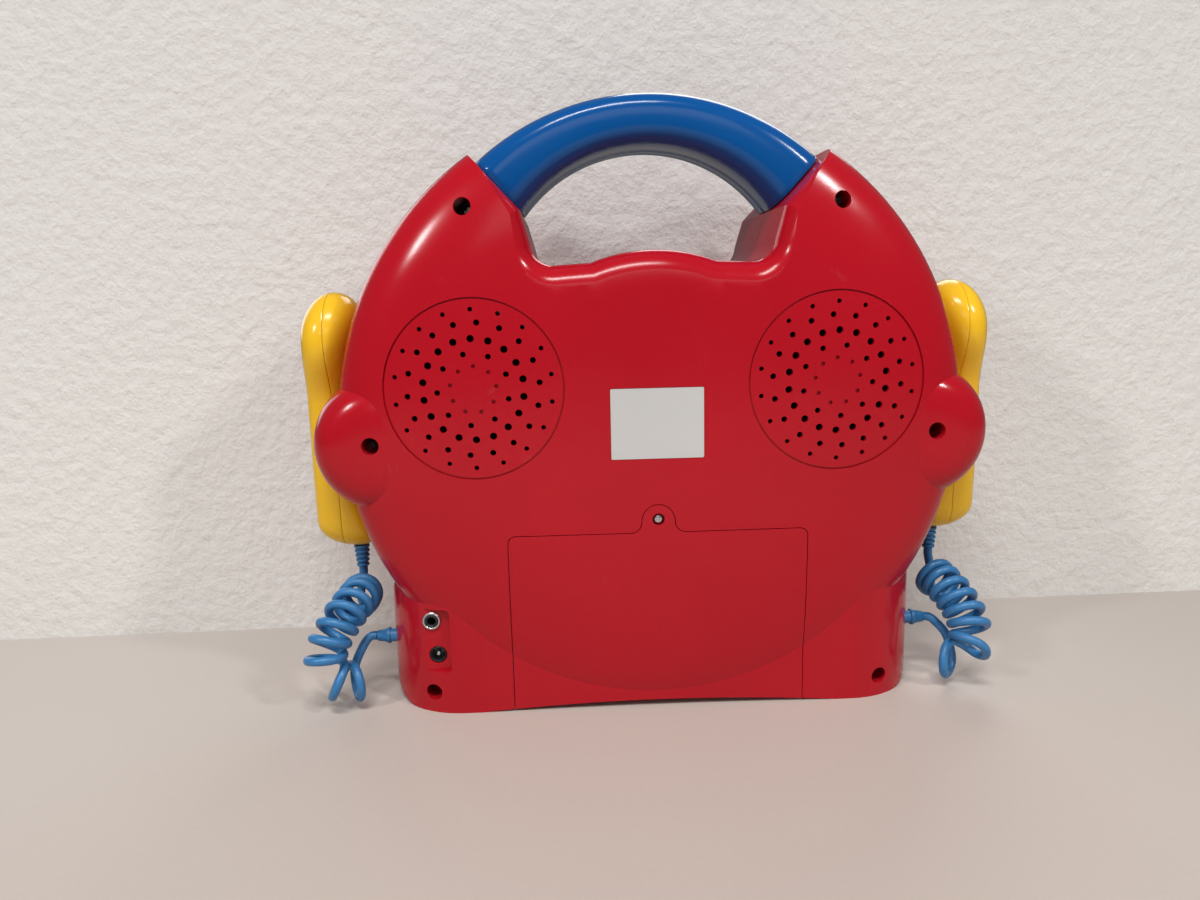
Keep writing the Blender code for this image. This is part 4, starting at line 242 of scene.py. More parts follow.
def softenEdges(piece, width, segments=2, angle=40):
    edge = piece.modifiers.new("soft edge", "BEVEL")
    edge.width, edge.segments, edge.limit_method = width * mm, segments, "ANGLE"
    edge.angle_limit, edge.use_clamp_overlap = math.radians(angle), True
    edge.miter_outer = "MITER_ARC"
    pick(piece)
    bpy.ops.object.modifier_apply(modifier="soft edge")
    return piece


def smoothShade(piece, angle=32):
    pick(piece)
    bpy.ops.object.shade_smooth_by_angle(angle=math.radians(angle))
    return piece


def blunt(value, power):
    return math.copysign(abs(value) ** (2 / power), value)


def ease(share):
    return (1 - math.cos(math.pi * min(max(share, 0.0), 1.0))) / 2


def arc(centreX, centreZ, radius, start, end, count):
    angles = [math.radians(start + (end - start) * step / count) for step in range(count + 1)]
    return [(centreX + radius * math.cos(a), centreZ + radius * math.sin(a)) for a in angles]


def offsetOutline(outline, distance):
    places = np.array(outline)
    before = places - np.roll(places, 1, axis=0)
    after = np.roll(places, -1, axis=0) - places
    before /= np.linalg.norm(before, axis=1)[:, None]
    after /= np.linalg.norm(after, axis=1)[:, None]
    normalsBefore = np.stack((before[:, 1], -before[:, 0]), axis=1)
    normalsAfter = np.stack((after[:, 1], -after[:, 0]), axis=1)
    mitre = normalsBefore + normalsAfter
    mitre /= (1 + np.sum(normalsBefore * normalsAfter, axis=1))[:, None]
    return [tuple(place) for place in (places + mitre * distance).tolist()]


def frontPrism(name, outline, lowY, highY):
    return drawnForm(name, [[(x, y, z) for x, z in outline] for y in (lowY, highY)])


def rod(name, radius, start, end, steps=24):
    start, end = Vector(start), Vector(end)
    return turnedForm(name, start, (end - start).normalized(),
                      [(radius, 0), (radius, (end - start).length)], steps)


def deepRod(name, radius, x, z, lowY, highY, steps=24):
    return rod(name, radius, (x, lowY, z), (x, highY, z), steps)


# Camera

view = {"place": (35.4, 396.8, 171.3), "lens": 27.0, "sensor": 36.0, "yaw": 2.1, "pitch": 10.0,
        "roll": -1.26, "nearest": 0.01, "farthest": 20.0}


def buildCamera():
    yaw, pitch, roll = (math.radians(view[key]) for key in ("yaw", "pitch", "roll"))
    ahead = Vector((-math.sin(yaw), -math.cos(yaw), 0))
    across = Vector((-math.cos(yaw), math.sin(yaw), 0))
    up = Vector((0, 0, 1))
    gaze = ahead * math.cos(pitch) - up * math.sin(pitch)
    lifted = up * math.cos(pitch) + ahead * math.sin(pitch)
    right = across * math.cos(roll) + lifted * math.sin(roll)
    upright = lifted * math.cos(roll) - across * math.sin(roll)
    startFresh()
    bpy.ops.object.camera_add(location=Vector(view["place"]) * mm)
    camera = bpy.context.object
    camera.name = "photoCamera"
    turn = Matrix((right, upright, -gaze)).transposed()
    camera.matrix_world = Matrix.Translation(Vector(view["place"]) * mm) @ turn.to_4x4()
    camera.data.lens, camera.data.sensor_width = view["lens"], view["sensor"]
    camera.data.clip_start, camera.data.clip_end = view["nearest"], view["farthest"]
    bpy.context.scene.camera = camera


buildCamera()
print("camera set")


# Curly cords of the two microphones, in metres

cordSizes = {
    "radius": 0.0019, "curlRadius": 0.0072, "curlPitch": 0.0042, "curlSpace": 0.0010,
    "windWidth": 0.0032, "curlPoints": 8, "leadStep": 0.002, "axisStep": 0.0003,
    "easeReach": 0.008, "closest": 0.2, "samples": 40, "bendReach": 0.004, "fineStep": 0.0012,
    "reliefMouth": (0.128, 0.0055, 0.0529), "glandMouth": (0.1203, 0.0215, 0.026),
    "straight": 0.0032, "roundness": 4,
}
cordRoutes = {
    "right": {
        "leadIn": [(0.1299, 0.0059, 0.0393), (0.1256, 0.0135, 0.0345)],
        "axis": [(0.126, 0.015, 0.0445), (0.1275, 0.026, 0.0435), (0.132, 0.036, 0.038),
                 (0.137, 0.041, 0.028), (0.1375, 0.041, 0.018), (0.131, 0.038, 0.012),
                 (0.123, 0.033, 0.0116)],
        "leadOut": [(0.1296, 0.0275, 0.0139), (0.1268, 0.0258, 0.0210)],
        "startSide": (0.7, 0.3, -0.7), "skipped": 2, "dropped": 6,
    },
    "left": {
        "leadIn": [(0.1299, 0.0059, 0.0393), (0.1256, 0.0135, 0.0345)],
        "axis": [(0.125, 0.018, 0.0445), (0.129, 0.028, 0.040), (0.133, 0.037, 0.031),
                 (0.133, 0.042, 0.0195), (0.128, 0.037, 0.012), (0.1225, 0.029, 0.012)],
        "leadOut": [(0.1290, 0.0263, 0.0194), (0.1242, 0.0232, 0.0250)],
        "startSide": (0.0, 0.3, -1.0), "skipped": 1, "dropped": 8,
    },
}


def spreadEvenly(places, step):
    run = np.concatenate(([0], np.cumsum(np.linalg.norm(np.diff(places, axis=0), axis=1))))
    marks = np.linspace(0, run[-1], int(run[-1] / step) + 1)
    return np.stack([np.interp(marks, run, places[:, axis]) for axis in range(3)], axis=1)


def smoothRoute(places, step):
    places = np.array(places)
    padded = np.vstack((2 * places[0] - places[1], places, 2 * places[-1] - places[-2]))
    fine = []
    for index in range(len(places) - 1):
        before, start, end, after = padded[index:index + 4]
        for share in np.linspace(0, 1, cordSizes["samples"], endpoint=False):
            fine.append(0.5 * (2 * start + (end - before) * share
                               + (2 * before - 5 * start + 4 * end - after) * share ** 2
                               + (3 * start - before - 3 * end + after) * share ** 3))
    return spreadEvenly(np.array(fine + [places[-1]]), step)


def easeBends(places, reach):
    count = int(reach / cordSizes["axisStep"])
    ahead = 2 * places[0] - places[count:0:-1]
    behind = 2 * places[-1] - places[-2:-count - 2:-1]
    padded = np.vstack((ahead, places, behind))
    kernel = np.hanning(2 * count + 3)[1:-1]
    kernel /= kernel.sum()
    return np.stack([np.convolve(padded[:, axis], kernel, "valid") for axis in range(3)], axis=1)


def curls(axisPlaces, startSide):
    step, radius = cordSizes["axisStep"], cordSizes["curlRadius"]
    axis = spreadEvenly(easeBends(smoothRoute(axisPlaces, step), cordSizes["easeReach"]), step)
    tangents = np.gradient(axis, axis=0)
    tangents /= np.linalg.norm(tangents, axis=1)[:, None]
    bends = np.linalg.norm(np.gradient(tangents, axis=0), axis=1) / step
    side = np.array(startSide, dtype=float)
    turn, marks, rings = 0.0, [], []
    for tangent, bend in zip(tangents, bends):
        side -= tangent * side.dot(tangent)
        side /= np.linalg.norm(side)
        marks.append(turn)
        rings.append((side.copy(), np.cross(tangent, side)))
        openPitch = (cordSizes["windWidth"] + cordSizes["curlSpace"]) \
            / max(1 - radius * bend, cordSizes["closest"])
        turn += 2 * math.pi * step / max(cordSizes["curlPitch"], openPitch)
    count = int(turn * cordSizes["curlPoints"] / (2 * math.pi))
    places = []
    for number in range(count + 1):
        angle = 2 * math.pi * number / cordSizes["curlPoints"]
        at = np.interp(angle, np.array(marks), np.arange(len(marks)))
        low = min(int(at), len(axis) - 2)
        share = at - low
        middle = axis[low] * (1 - share) + axis[low + 1] * share
        first, second = rings[low]
        places.append(middle + radius * (first * math.cos(angle) + second * math.sin(angle)))
    return np.array(places)


def buildCord(sideName, side):
    made, straight = cordRoutes[sideName], cordSizes["straight"]
    (startX, startY, startZ), (endX, endY, endZ) = cordSizes["reliefMouth"], cordSizes["glandMouth"]
    start = [(startX, startY, startZ), (startX, startY, startZ - straight)]
    end = [(endX + straight, endY, endZ), (endX, endY, endZ)]
    wound = curls(made["axis"], made["startSide"])
    wound = wound[made["skipped"]:len(wound) - made["dropped"]]
    leads = []
    for places in (start + made["leadIn"] + [tuple(wound[0]), tuple(wound[1])],
                   [tuple(wound[-2]), tuple(wound[-1])] + made["leadOut"] + end):
        leads.append(smoothRoute(places, cordSizes["leadStep"]))
    places = np.vstack((leads[0], wound[2:-2], leads[1])) * np.array((side, 1, 1))
    fine = easeBends(smoothRoute(places, cordSizes["axisStep"]), cordSizes["bendReach"])
    fine = spreadEvenly(fine, cordSizes["fineStep"])
    lane = bpy.data.curves.new("curlyCord" + sideName.title(), "CURVE")
    lane.dimensions = "3D"
    spline = lane.splines.new("POLY")
    spline.points.add(len(fine) - 1)
    for point, place in zip(spline.points, fine):
        point.co, point.radius = (*place, 1), cordSizes["radius"]
    # each point carries the cord's radius, so the bevel depth stays 1
    lane.bevel_depth, lane.bevel_resolution = 1.0, cordSizes["roundness"]
    lane.use_fill_caps = True
    cord = bpy.data.objects.new(lane.name, lane)
    bpy.context.scene.collection.objects.link(cord)
    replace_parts(cord, "cord_" + sideName)
    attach(cord, "body")
    return cord


cords = {name: buildCord(name, side) for name, side in sides}


# Finishes

def addGroup(name, inputs, outputs):
    group = bpy.data.node_groups.new(name, "ShaderNodeTree")
    for label, kind, value in inputs:
        socket = group.interface.new_socket(name=label, in_out="INPUT", socket_type=kind)
        socket.default_value = value
    for label, kind in outputs:
        group.interface.new_socket(name=label, in_out="OUTPUT", socket_type=kind)
    return group, group.nodes.new("NodeGroupInput"), group.nodes.new("NodeGroupOutput")


def wire(tree, source, target):
    tree.links.new(source, target)


def mathNode(tree, operation, *values):
    made = tree.nodes.new("ShaderNodeMath")
    made.operation = operation
    for socket, value in zip(made.inputs, values):
        if hasattr(value, "node"):
            wire(tree, value, socket)
        else:
            socket.default_value = value
    return made.outputs[0]


def rangeNode(tree, value, fromLow, fromHigh, toLow, toHigh):
    made = tree.nodes.new("ShaderNodeMapRange")
    made.clamp = True
    wire(tree, value, made.inputs["Value"])
    for label, number in (("From Min", fromLow), ("From Max", fromHigh), ("To Min", toLow),
                          ("To Max", toHigh)):
        if hasattr(number, "node"):
            wire(tree, number, made.inputs[label])
        else:
            made.inputs[label].default_value = number
    return made.outputs["Result"]


def noiseNode(tree, place, scale, detail=4.0, roughness=0.55):
    made = tree.nodes.new("ShaderNodeTexNoise")
    wire(tree, place, made.inputs["Vector"])
    made.inputs["Scale"].default_value = scale
    made.inputs["Detail"].default_value = detail
    made.inputs["Roughness"].default_value = roughness
    return made.outputs["Fac"]


def stretchedPlace(tree, place, scale, turn=(0, 0, 0)):
    made = tree.nodes.new("ShaderNodeMapping")
    wire(tree, place, made.inputs["Vector"])
    made.inputs["Scale"].default_value = scale
    made.inputs["Rotation"].default_value = turn
    return made.outputs["Vector"]


def buildMouldedSkin():  # the faint ripple and uneven shine of a moulded face
    group, start, end = addGroup("mouldedSkin",
                                 [("Place", "NodeSocketVector", (0, 0, 0)),
                                  ("Fine", "NodeSocketFloat", 900.0)],
                                 [("Height", "NodeSocketFloat"), ("Shine", "NodeSocketFloat"),
                                  ("Tint", "NodeSocketFloat")])
    place = start.outputs["Place"]
    fine = group.nodes.new("ShaderNodeTexNoise")
    wire(group, place, fine.inputs["Vector"])
    wire(group, start.outputs["Fine"], fine.inputs["Scale"])
    ripple = noiseNode(group, place, 55.0, 2.0)
    wire(group, mathNode(group, "ADD", mathNode(group, "MULTIPLY", fine.outputs["Fac"], 0.25),
                         mathNode(group, "MULTIPLY", ripple, 0.75)), end.inputs["Height"])
    wire(group, rangeNode(group, noiseNode(group, place, 28.0, 6.0), 0.35, 0.68, 0.0, 1.0),
         end.inputs["Shine"])
    wire(group, rangeNode(group, noiseNode(group, place, 9.0, 3.0), 0.3, 0.7, 0.0, 1.0),
         end.inputs["Tint"])
    return group


def buildHandScratches():  # fine scratches from years of handling, in two directions
    group, start, end = addGroup("handScratches",
                                 [("Place", "NodeSocketVector", (0, 0, 0)),
                                  ("Amount", "NodeSocketFloat", 0.5)],
                                 [("Scratches", "NodeSocketFloat")])
    place = start.outputs["Place"]
    lines = []
    for turn, scale in (((0.3, 0.5, 0.9), (90, 2600, 90)), ((1.1, 0.2, 2.2), (2300, 70, 120)),
                        ((0.7, 1.9, 0.4), (110, 130, 2900))):
        lines.append(rangeNode(group, noiseNode(group, stretchedPlace(group, place, scale, turn),
                                                1.0, 2.0), 0.66, 0.72, 0.0, 1.0))
    patches = rangeNode(group, noiseNode(group, place, 45.0, 3.0), 0.54, 0.66, 0.0, 1.0)
    total = mathNode(group, "MAXIMUM", mathNode(group, "MAXIMUM", lines[0], lines[1]), lines[2])
    wire(group, mathNode(group, "MULTIPLY", mathNode(group, "MULTIPLY", total, patches),
                         start.outputs["Amount"]), end.inputs["Scratches"])
    return group


def buildSettledDust():  # specks and a thin film on what faces up
    group, start, end = addGroup("settledDust",
                                 [("Place", "NodeSocketVector", (0, 0, 0)),
                                  ("Amount", "NodeSocketFloat", 0.5)],
                                 [("Dust", "NodeSocketFloat")])
    facing = group.nodes.new("ShaderNodeNewGeometry")
    parts = group.nodes.new("ShaderNodeSeparateXYZ")
    wire(group, facing.outputs["Normal"], parts.inputs[0])
    upward = rangeNode(group, parts.outputs["Z"], -0.1, 1.0, 0.12, 1.0)
    place = start.outputs["Place"]
    specks = rangeNode(group, noiseNode(group, place, 420.0, 2.0), 0.67, 0.75, 0, 1)
    film = rangeNode(group, noiseNode(group, place, 35.0, 5.0), 0.45, 0.8, 0, 0.35)
    wire(group, mathNode(group, "MULTIPLY", mathNode(group, "MULTIPLY", upward,
                                                     mathNode(group, "MAXIMUM", specks, film)),
                         start.outputs["Amount"]), end.inputs["Dust"])
    return group


groups = {"skin": buildMouldedSkin(), "scratches": buildHandScratches(), "dust": buildSettledDust()}

# colour, roughness, shine (specular level), how far the tint moves, bump, scratches and dust;
# metallic, coat and grain only where they are not 0, 0 and 900
finishes = {
    "red_plastic": dict(colour=(0.42, 0.0045, 0.013), rough=0.17, shine=0.27, tint=0.07,
                        bump=0.03, scratch=0.10, dust=0.035),
    "blue_plastic": dict(colour=(0.0006, 0.072, 0.27), rough=0.16, shine=0.30, tint=0.08,
                         bump=0.025, scratch=0.10, dust=0.06),
    "yellow_plastic": dict(colour=(0.86, 0.50, 0.018), rough=0.19, shine=0.35, tint=0.08,
                           bump=0.03, scratch=0.08, dust=0.05),
    "white_plastic": dict(colour=(0.72, 0.71, 0.68), rough=0.38, tint=0.05, bump=0.03,
                          scratch=0.2, dust=0.1, grain=1200.0),
    "black_plastic": dict(colour=(0.014, 0.014, 0.016), rough=0.42, tint=0.15, bump=0.08,
                          scratch=0.25, dust=0.25, grain=1600.0),
    "blue_cord": dict(colour=(0.030, 0.175, 0.40), rough=0.38, tint=0.14, bump=0.05,
                      scratch=0.15, dust=0.25, grain=1400.0),
    "steel": dict(colour=(0.60, 0.60, 0.61), rough=0.27, metallic=1.0, tint=0.10, bump=0.03,
                  scratch=0.6, dust=0.1, grain=1500.0),
    "paper_cone": dict(colour=(0.030, 0.029, 0.028), rough=0.85, tint=0.3, bump=0.25,
                       scratch=0.0, dust=0.3, grain=700.0),
    "green_board": dict(colour=(0.012, 0.13, 0.045), rough=0.40, coat=0.15, tint=0.25, bump=0.10,
                        scratch=0.1, dust=0.15, grain=350.0),
    "display_grey": dict(colour=(0.20, 0.235, 0.19), rough=0.12, coat=0.6, tint=0.08, bump=0.01,
                         scratch=0.1, dust=0.1),
    "lens_glass": dict(colour=(0.05, 0.07, 0.26), rough=0.04, coat=1.0, tint=0.2, bump=0.0,
                       scratch=0.0, dust=0.05),
}
dustColour, wornColour = (0.45, 0.42, 0.38), (0.30, 0.28, 0.25)
materials = {}


def groupNode(tree, group, place, **values):
    made = tree.nodes.new("ShaderNodeGroup")
    made.node_tree = group
    wire(tree, place, made.inputs["Place"])
    for label, value in values.items():
        made.inputs[label].default_value = value
    return made


def mixColour(tree, share, one, two):
    made = tree.nodes.new("ShaderNodeMix")
    made.data_type = "RGBA"
    wire(tree, share, made.inputs["Factor"])
    for label, colour in (("A", one), ("B", two)):
        socket = [s for s in made.inputs if s.name == label and s.type == "RGBA"][0]
        if hasattr(colour, "node"):
            wire(tree, colour, socket)
        else:
            socket.default_value = (*colour, 1.0)
    return [s for s in made.outputs if s.type == "RGBA"][0]


def newMaterial(name):
    material = bpy.data.materials.new(name)
    material.use_nodes = True
    tree = material.node_tree
    place = tree.nodes.new("ShaderNodeTexCoord").outputs["Object"]
    return material, tree, tree.nodes["Principled BSDF"], place


def raiseSkin(tree, shader, height, strength, distance):
    bump = tree.nodes.new("ShaderNodeBump")
    bump.inputs["Strength"].default_value = strength
    bump.inputs["Distance"].default_value = distance
    wire(tree, height, bump.inputs["Height"])
    wire(tree, bump.outputs["Normal"], shader.inputs["Normal"])


def buildFinish(name, made):
    materials[name], tree, shader, place = newMaterial(name)
    skin = groupNode(tree, groups["skin"], place, Fine=made.get("grain", 900.0))
    scratches = groupNode(tree, groups["scratches"], place, Amount=made["scratch"])
    dust = groupNode(tree, groups["dust"], place, Amount=made["dust"])
    colour = Vector(made["colour"])
    deep, light = colour * (1 - made["tint"]), colour * (1 + made["tint"] * 0.6)
    base = mixColour(tree, skin.outputs["Tint"], tuple(deep), tuple(light))
    pale = tuple(colour * 0.55 + Vector(wornColour))
    worn, settled = scratches.outputs["Scratches"], dust.outputs["Dust"]
    base = mixColour(tree, mathNode(tree, "MULTIPLY", worn, 0.35), base, pale)
    base = mixColour(tree, mathNode(tree, "MULTIPLY", settled, 0.5), base, dustColour)
    wire(tree, base, shader.inputs["Base Color"])
    rough = rangeNode(tree, skin.outputs["Shine"], 0.0, 1.0, made["rough"] * 0.82,
                      made["rough"] * 1.25)
    rough = mathNode(tree, "ADD", rough, mathNode(tree, "MULTIPLY", worn, 0.25))
    rough = mathNode(tree, "ADD", rough, mathNode(tree, "MULTIPLY", settled, 0.3))
    wire(tree, rough, shader.inputs["Roughness"])
    shader.inputs["Metallic"].default_value = made.get("metallic", 0.0)
    shader.inputs["Coat Weight"].default_value = made.get("coat", 0.0)
    shader.inputs["Coat Roughness"].default_value = 0.08
    shader.inputs["Specular IOR Level"].default_value = made.get("shine", 0.5)
    if made["bump"]:
        height = mathNode(tree, "SUBTRACT", skin.outputs["Height"],
                          mathNode(tree, "MULTIPLY", worn, 0.6))
        raiseSkin(tree, shader, height, made["bump"], 0.0006)


for finishName, made in finishes.items():
    buildFinish(finishName, made)


def buildClearPlastic():
    materials["clear_plastic"], tree, shader, place = newMaterial("clear_plastic")
    worn = groupNode(tree, groups["scratches"], place, Amount=0.6).outputs["Scratches"]
    wire(tree, mixColour(tree, worn, (0.70, 0.76, 0.80), (0.9, 0.9, 0.9)),
         shader.inputs["Base Color"])
    wire(tree, rangeNode(tree, worn, 0, 1, 0.03, 0.35), shader.inputs["Roughness"])
    shader.inputs["Transmission Weight"].default_value = 1.0
    shader.inputs["IOR"].default_value = 1.2


buildClearPlastic()
print("finishes made")


def dress(piece, finish, body="body"):
    piece.data.materials.clear()
    piece.data.materials.append(materials[finish])
    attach(piece, body)
    return piece


for cord in cords.values():
    cord.data.materials.append(materials["blue_cord"])


# Casing: outer form and hollow of each cover

opening = {
    "bumpRadius": 68.0, "bumpDegrees": 21, "corner": (38.5, 190.5, 9.0, -100, -4),
    "hornInner": (51.0, 202.5), "hornOuter": (70.0, 223.3), "rearFlare": 10.0, "frontFlare": 1.5,
    "handleTop": 249.5,
}
ears = {"x": 110.0, "z": 112.0, "radius": 29.2, "rear": 41.5, "front": 46.5, "power": 4.3,
        "cradle": 12.4, "rings": 20, "steps": 72}


def domeProfile(radius, depth, power, rings):
    turns = [math.radians(90 * step / rings) for step in range(rings)]
    return [(radius * blunt(math.cos(turn), power), depth * blunt(math.sin(turn), power))
            for turn in turns]


def domeForm(name, outward, inset, start, steps, rings):
    depth = (casing["rearDepth"] if outward > 0 else casing["frontDepth"]) - inset
    profile = domeProfile(casing["discRadius"] - inset, depth, casing["domePower"], rings)
    profile = [(profile[0][0], start)] + [spot for spot in profile if spot[1] > max(start, 0) + 0.5]
    return turnedForm(name, (0, casing["partingY"], casing["discZ"]), (0, outward, 0), profile,
                      steps)


def sunkDome(name, sunk, steps=casing["domeSteps"], rings=casing["domeRings"]):
    return shift(domeForm(name, 1, 0, casing["start"], steps, rings), (0, -sunk, 0))


def baseForm(name, outward, inset, start, rounded):
    depth = casing["rearDepth"] if outward > 0 else casing["frontDepth"]
    near = casing["partingY"] + outward * start
    far = casing["partingY"] + outward * (depth - casing["baseStep"] - inset)
    half, top = casing["baseHalf"] - inset, casing["baseTop"] - inset
    lowY, highY = sorted((near, far))
    block = boxForm(name, (-half, lowY, inset), (half, highY, top))
    roundEdges(block, casing["footRadius"] - inset, 8,
               lambda middle, way: abs(way.y) > 0.9 and middle.z < 20)
    roundEdges(block, casing["shoulderRadius"] - inset, 10,
               lambda middle, way: abs(way.y) > 0.9 and middle.z > top - 1)
    behind = near - outward * casing["past"]
    lowY, highY = sorted((behind, far))
    plan = boxForm(name + "Plan", (-half - 0.1, lowY, -3), (half + 0.1, highY + 0.01, top + 3))
    roundEdges(plan, casing["baseCorner"] - inset, 14,
               lambda middle, way: abs(way.z) > 0.9 and abs(middle.y - far) < 1)
    combine(block, plan, "INTERSECT")
    if rounded:
        softenEdges(block, rounded, 8, 50)
    return block


def cheekForm(name, side, outward):
    depth = ears["rear"] if outward > 0 else ears["front"]
    profile = [spot for spot in domeProfile(ears["radius"], depth, ears["power"], ears["rings"])
               if spot[1] > ears["cradle"] + 0.6]
    foot = ears["radius"] * (1 - (ears["cradle"] / depth) ** ears["power"]) ** (1 / ears["power"])
    return turnedForm(name, (side * ears["x"], casing["partingY"], ears["z"]), (0, outward, 0),
                      [(foot, ears["cradle"])] + profile, ears["steps"])


def groundForm(name, inset):
    half, rise = casing["archHalf"], casing["archRise"]
    radius = (half * half + rise * rise) / (2 * rise)
    spread = math.degrees(math.asin(half / radius)) * (1 + rise / half)
    line = arc(0, rise + inset - radius, radius, 90 - spread, 90 + spread, 48)
    return frontPrism(name, [(line[-1][0], -15), (line[0][0], -15)] + line, -60, 60)


def openingOutline(offset):
    o = opening
    bump = arc(0, casing["discZ"], o["bumpRadius"], 90 + o["bumpDegrees"],
               90 - o["bumpDegrees"], 28)
    x, z, radius, start, end = o["corner"]
    corner = arc(x, z, radius, start, end, 14)
    alongX = o["hornOuter"][0] - o["hornInner"][0]
    alongZ = o["hornOuter"][1] - o["hornInner"][1]
    beyond = (o["hornOuter"][0] + alongX, o["hornOuter"][1] + alongZ)
    right = corner + [o["hornInner"], o["hornOuter"], beyond, (beyond[0], o["handleTop"] + alongZ)]
    left = [(-x, z) for x, z in reversed(right)]
    return offsetOutline(bump + right + left, offset)


def openingForm(name, outward, extra):
    flare = opening["rearFlare"] if outward > 0 else opening["frontFlare"]
    depth = casing["rearDepth"] if outward > 0 else casing["frontDepth"]
    levels = [(-casing["past"], 0), (depth - flare, 0)]
    for step in range(1, 11):
        turn = math.pi / 2 * step / 10
        levels.append((depth - flare + flare * math.sin(turn), flare * (1 - math.cos(turn))))
    levels.append((depth + casing["past"], flare))
    return drawnForm(name, [[(x, casing["partingY"] + outward * level, z)
                             for x, z in openingOutline(wider + extra)]
                            for level, wider in levels])


def coverForm(name, outward):
    start = casing["start"]
    solid = domeForm(name, outward, 0, start, casing["domeSteps"], casing["domeRings"])
    combine(solid, baseForm(name + "Base", outward, 0, start, 2.0), "UNION")
    for sideName, side in sides:
        combine(solid, cheekForm(name + "Cheek" + sideName, side, outward), "UNION")
    combine(solid, groundForm(name + "Ground", 0))
    combine(solid, openingForm(name + "Opening", outward, 0))
    return solid


def coverHollow(name, outward, supports):
    inset, start = casing["wall"], -casing["past"]
    solid = domeForm(name, outward, inset, start, 96, 20)
    combine(solid, baseForm(name + "Base", outward, inset, start, 0), "UNION")
    combine(solid, groundForm(name + "Ground", inset))
    combine(solid, openingForm(name + "Opening", outward, inset))
    combine(solid, supports)
    return solid


# Rear shell with its speaker holes, screw wells, socket pocket and door opening

screws = {"places": ((72.6, 204.0), (112.5, 113.5), (93.4, 8.8)), "seatY": 17.5, "recess": 3.4,
          "post": 5.2, "shank": 1.7}
speakers = {
    "x": 71.0, "z": 135.0, "ring": 35.0, "dip": 0.45,
    # radius of the ring of holes, how many, hole diameter, first angle, blind
    "rings": ((9.0, 9, 1.7, 92, True), (14.0, 9, 2.3, 76, False), (19.6, 18, 2.9, 89, False),
              (25.7, 18, 2.4, 95, False), (30.7, 18, 1.9, 90, False)),
}
pocket = {"x": 91.2, "z": 31.3, "halfWide": 5.8, "halfHigh": 13.4, "floorY": 42.0}
door = {"half": 60.0, "top": 76.0, "corner": 3.0, "tabHalf": 6.5, "tabTop": 87.4, "fillet": 4.5,
        "gap": 0.32, "screwZ": 81.5}
label = {"halfWide": 18.5, "halfHigh": 14.15, "z": 120.0, "dip": 0.35, "thick": 0.16,
         "edge": 0.25}
sockets = {"jack": (93.2, 39.5, 3.0), "power": (91.2, 24.7, 3.7)}  # x, z, radius of the bore
gland = {"y": 21.5, "z": 26.0, "bore": 3.1}
switchSlot = {"y": 12.5, "z": 17, "halfY": 1.7, "halfZ": 4.2, "from": 107, "to": 116}
rearY, frontY = 50.5, -44.5
beyondRear, beyondFront = 60, -50  # tools run past the skin to here


def screwRods(name, radius, lowY, highY, steps=32):
    rods = []
    for number, (x, z) in enumerate(screws["places"]):
        for sideName, side in sides:
            rods.append(deepRod(f"{name}{sideName}{number}", radius, side * x, z, lowY, highY,
                                steps))
    return joined(name, rods)


def doorOutline(offset):
    d = door
    corner = arc(d["half"] - d["corner"], d["top"] - d["corner"], d["corner"], 0, 90, 6)
    fillet = arc(d["tabHalf"] + d["fillet"], d["top"] + d["fillet"], d["fillet"], 270, 180, 8)
    crown = arc(0, d["tabTop"] - d["tabHalf"], d["tabHalf"], 0, 90, 10)
    right = [(d["half"], -3)] + corner + fillet + crown
    left = [(-x, z) for x, z in reversed(right[:-1])]
    return offsetOutline(right + left, offset)


def grilleTools():
    through, blind = [], []
    for sideName, side in sides:
        for number, (ring, count, wide, first, isBlind) in enumerate(speakers["rings"]):
            turns = [math.radians(first + 360 * step / count) for step in range(count)]
            places = [(side * (speakers["x"] + ring * math.cos(turn)),
                       speakers["z"] + ring * math.sin(turn)) for turn in turns]
            model = deepRod("hole", wide / 2, 0, 0, 32, 56, 14)
            holes = spread(model, f"hole{sideName}{number}_", places)
            (blind if isBlind else through).extend(holes)
    return joined("openHoles", through), joined("blindHoles", blind)


def pocketForm(name, extra, farY):
    p = pocket
    wide, high = p["halfWide"] + extra, p["halfHigh"] + extra
    return boxForm(name, (p["x"] - wide, p["floorY"] - extra, p["z"] - high),
                   (p["x"] + wide, farY, p["z"] + high))


def speakerRod(name, side, extra, lowY, highY):
    return deepRod(name, speakers["ring"] + extra, side * speakers["x"], speakers["z"], lowY,
                   highY, 96)


def alongY(middle, way):
    return abs(way.y) > 0.9


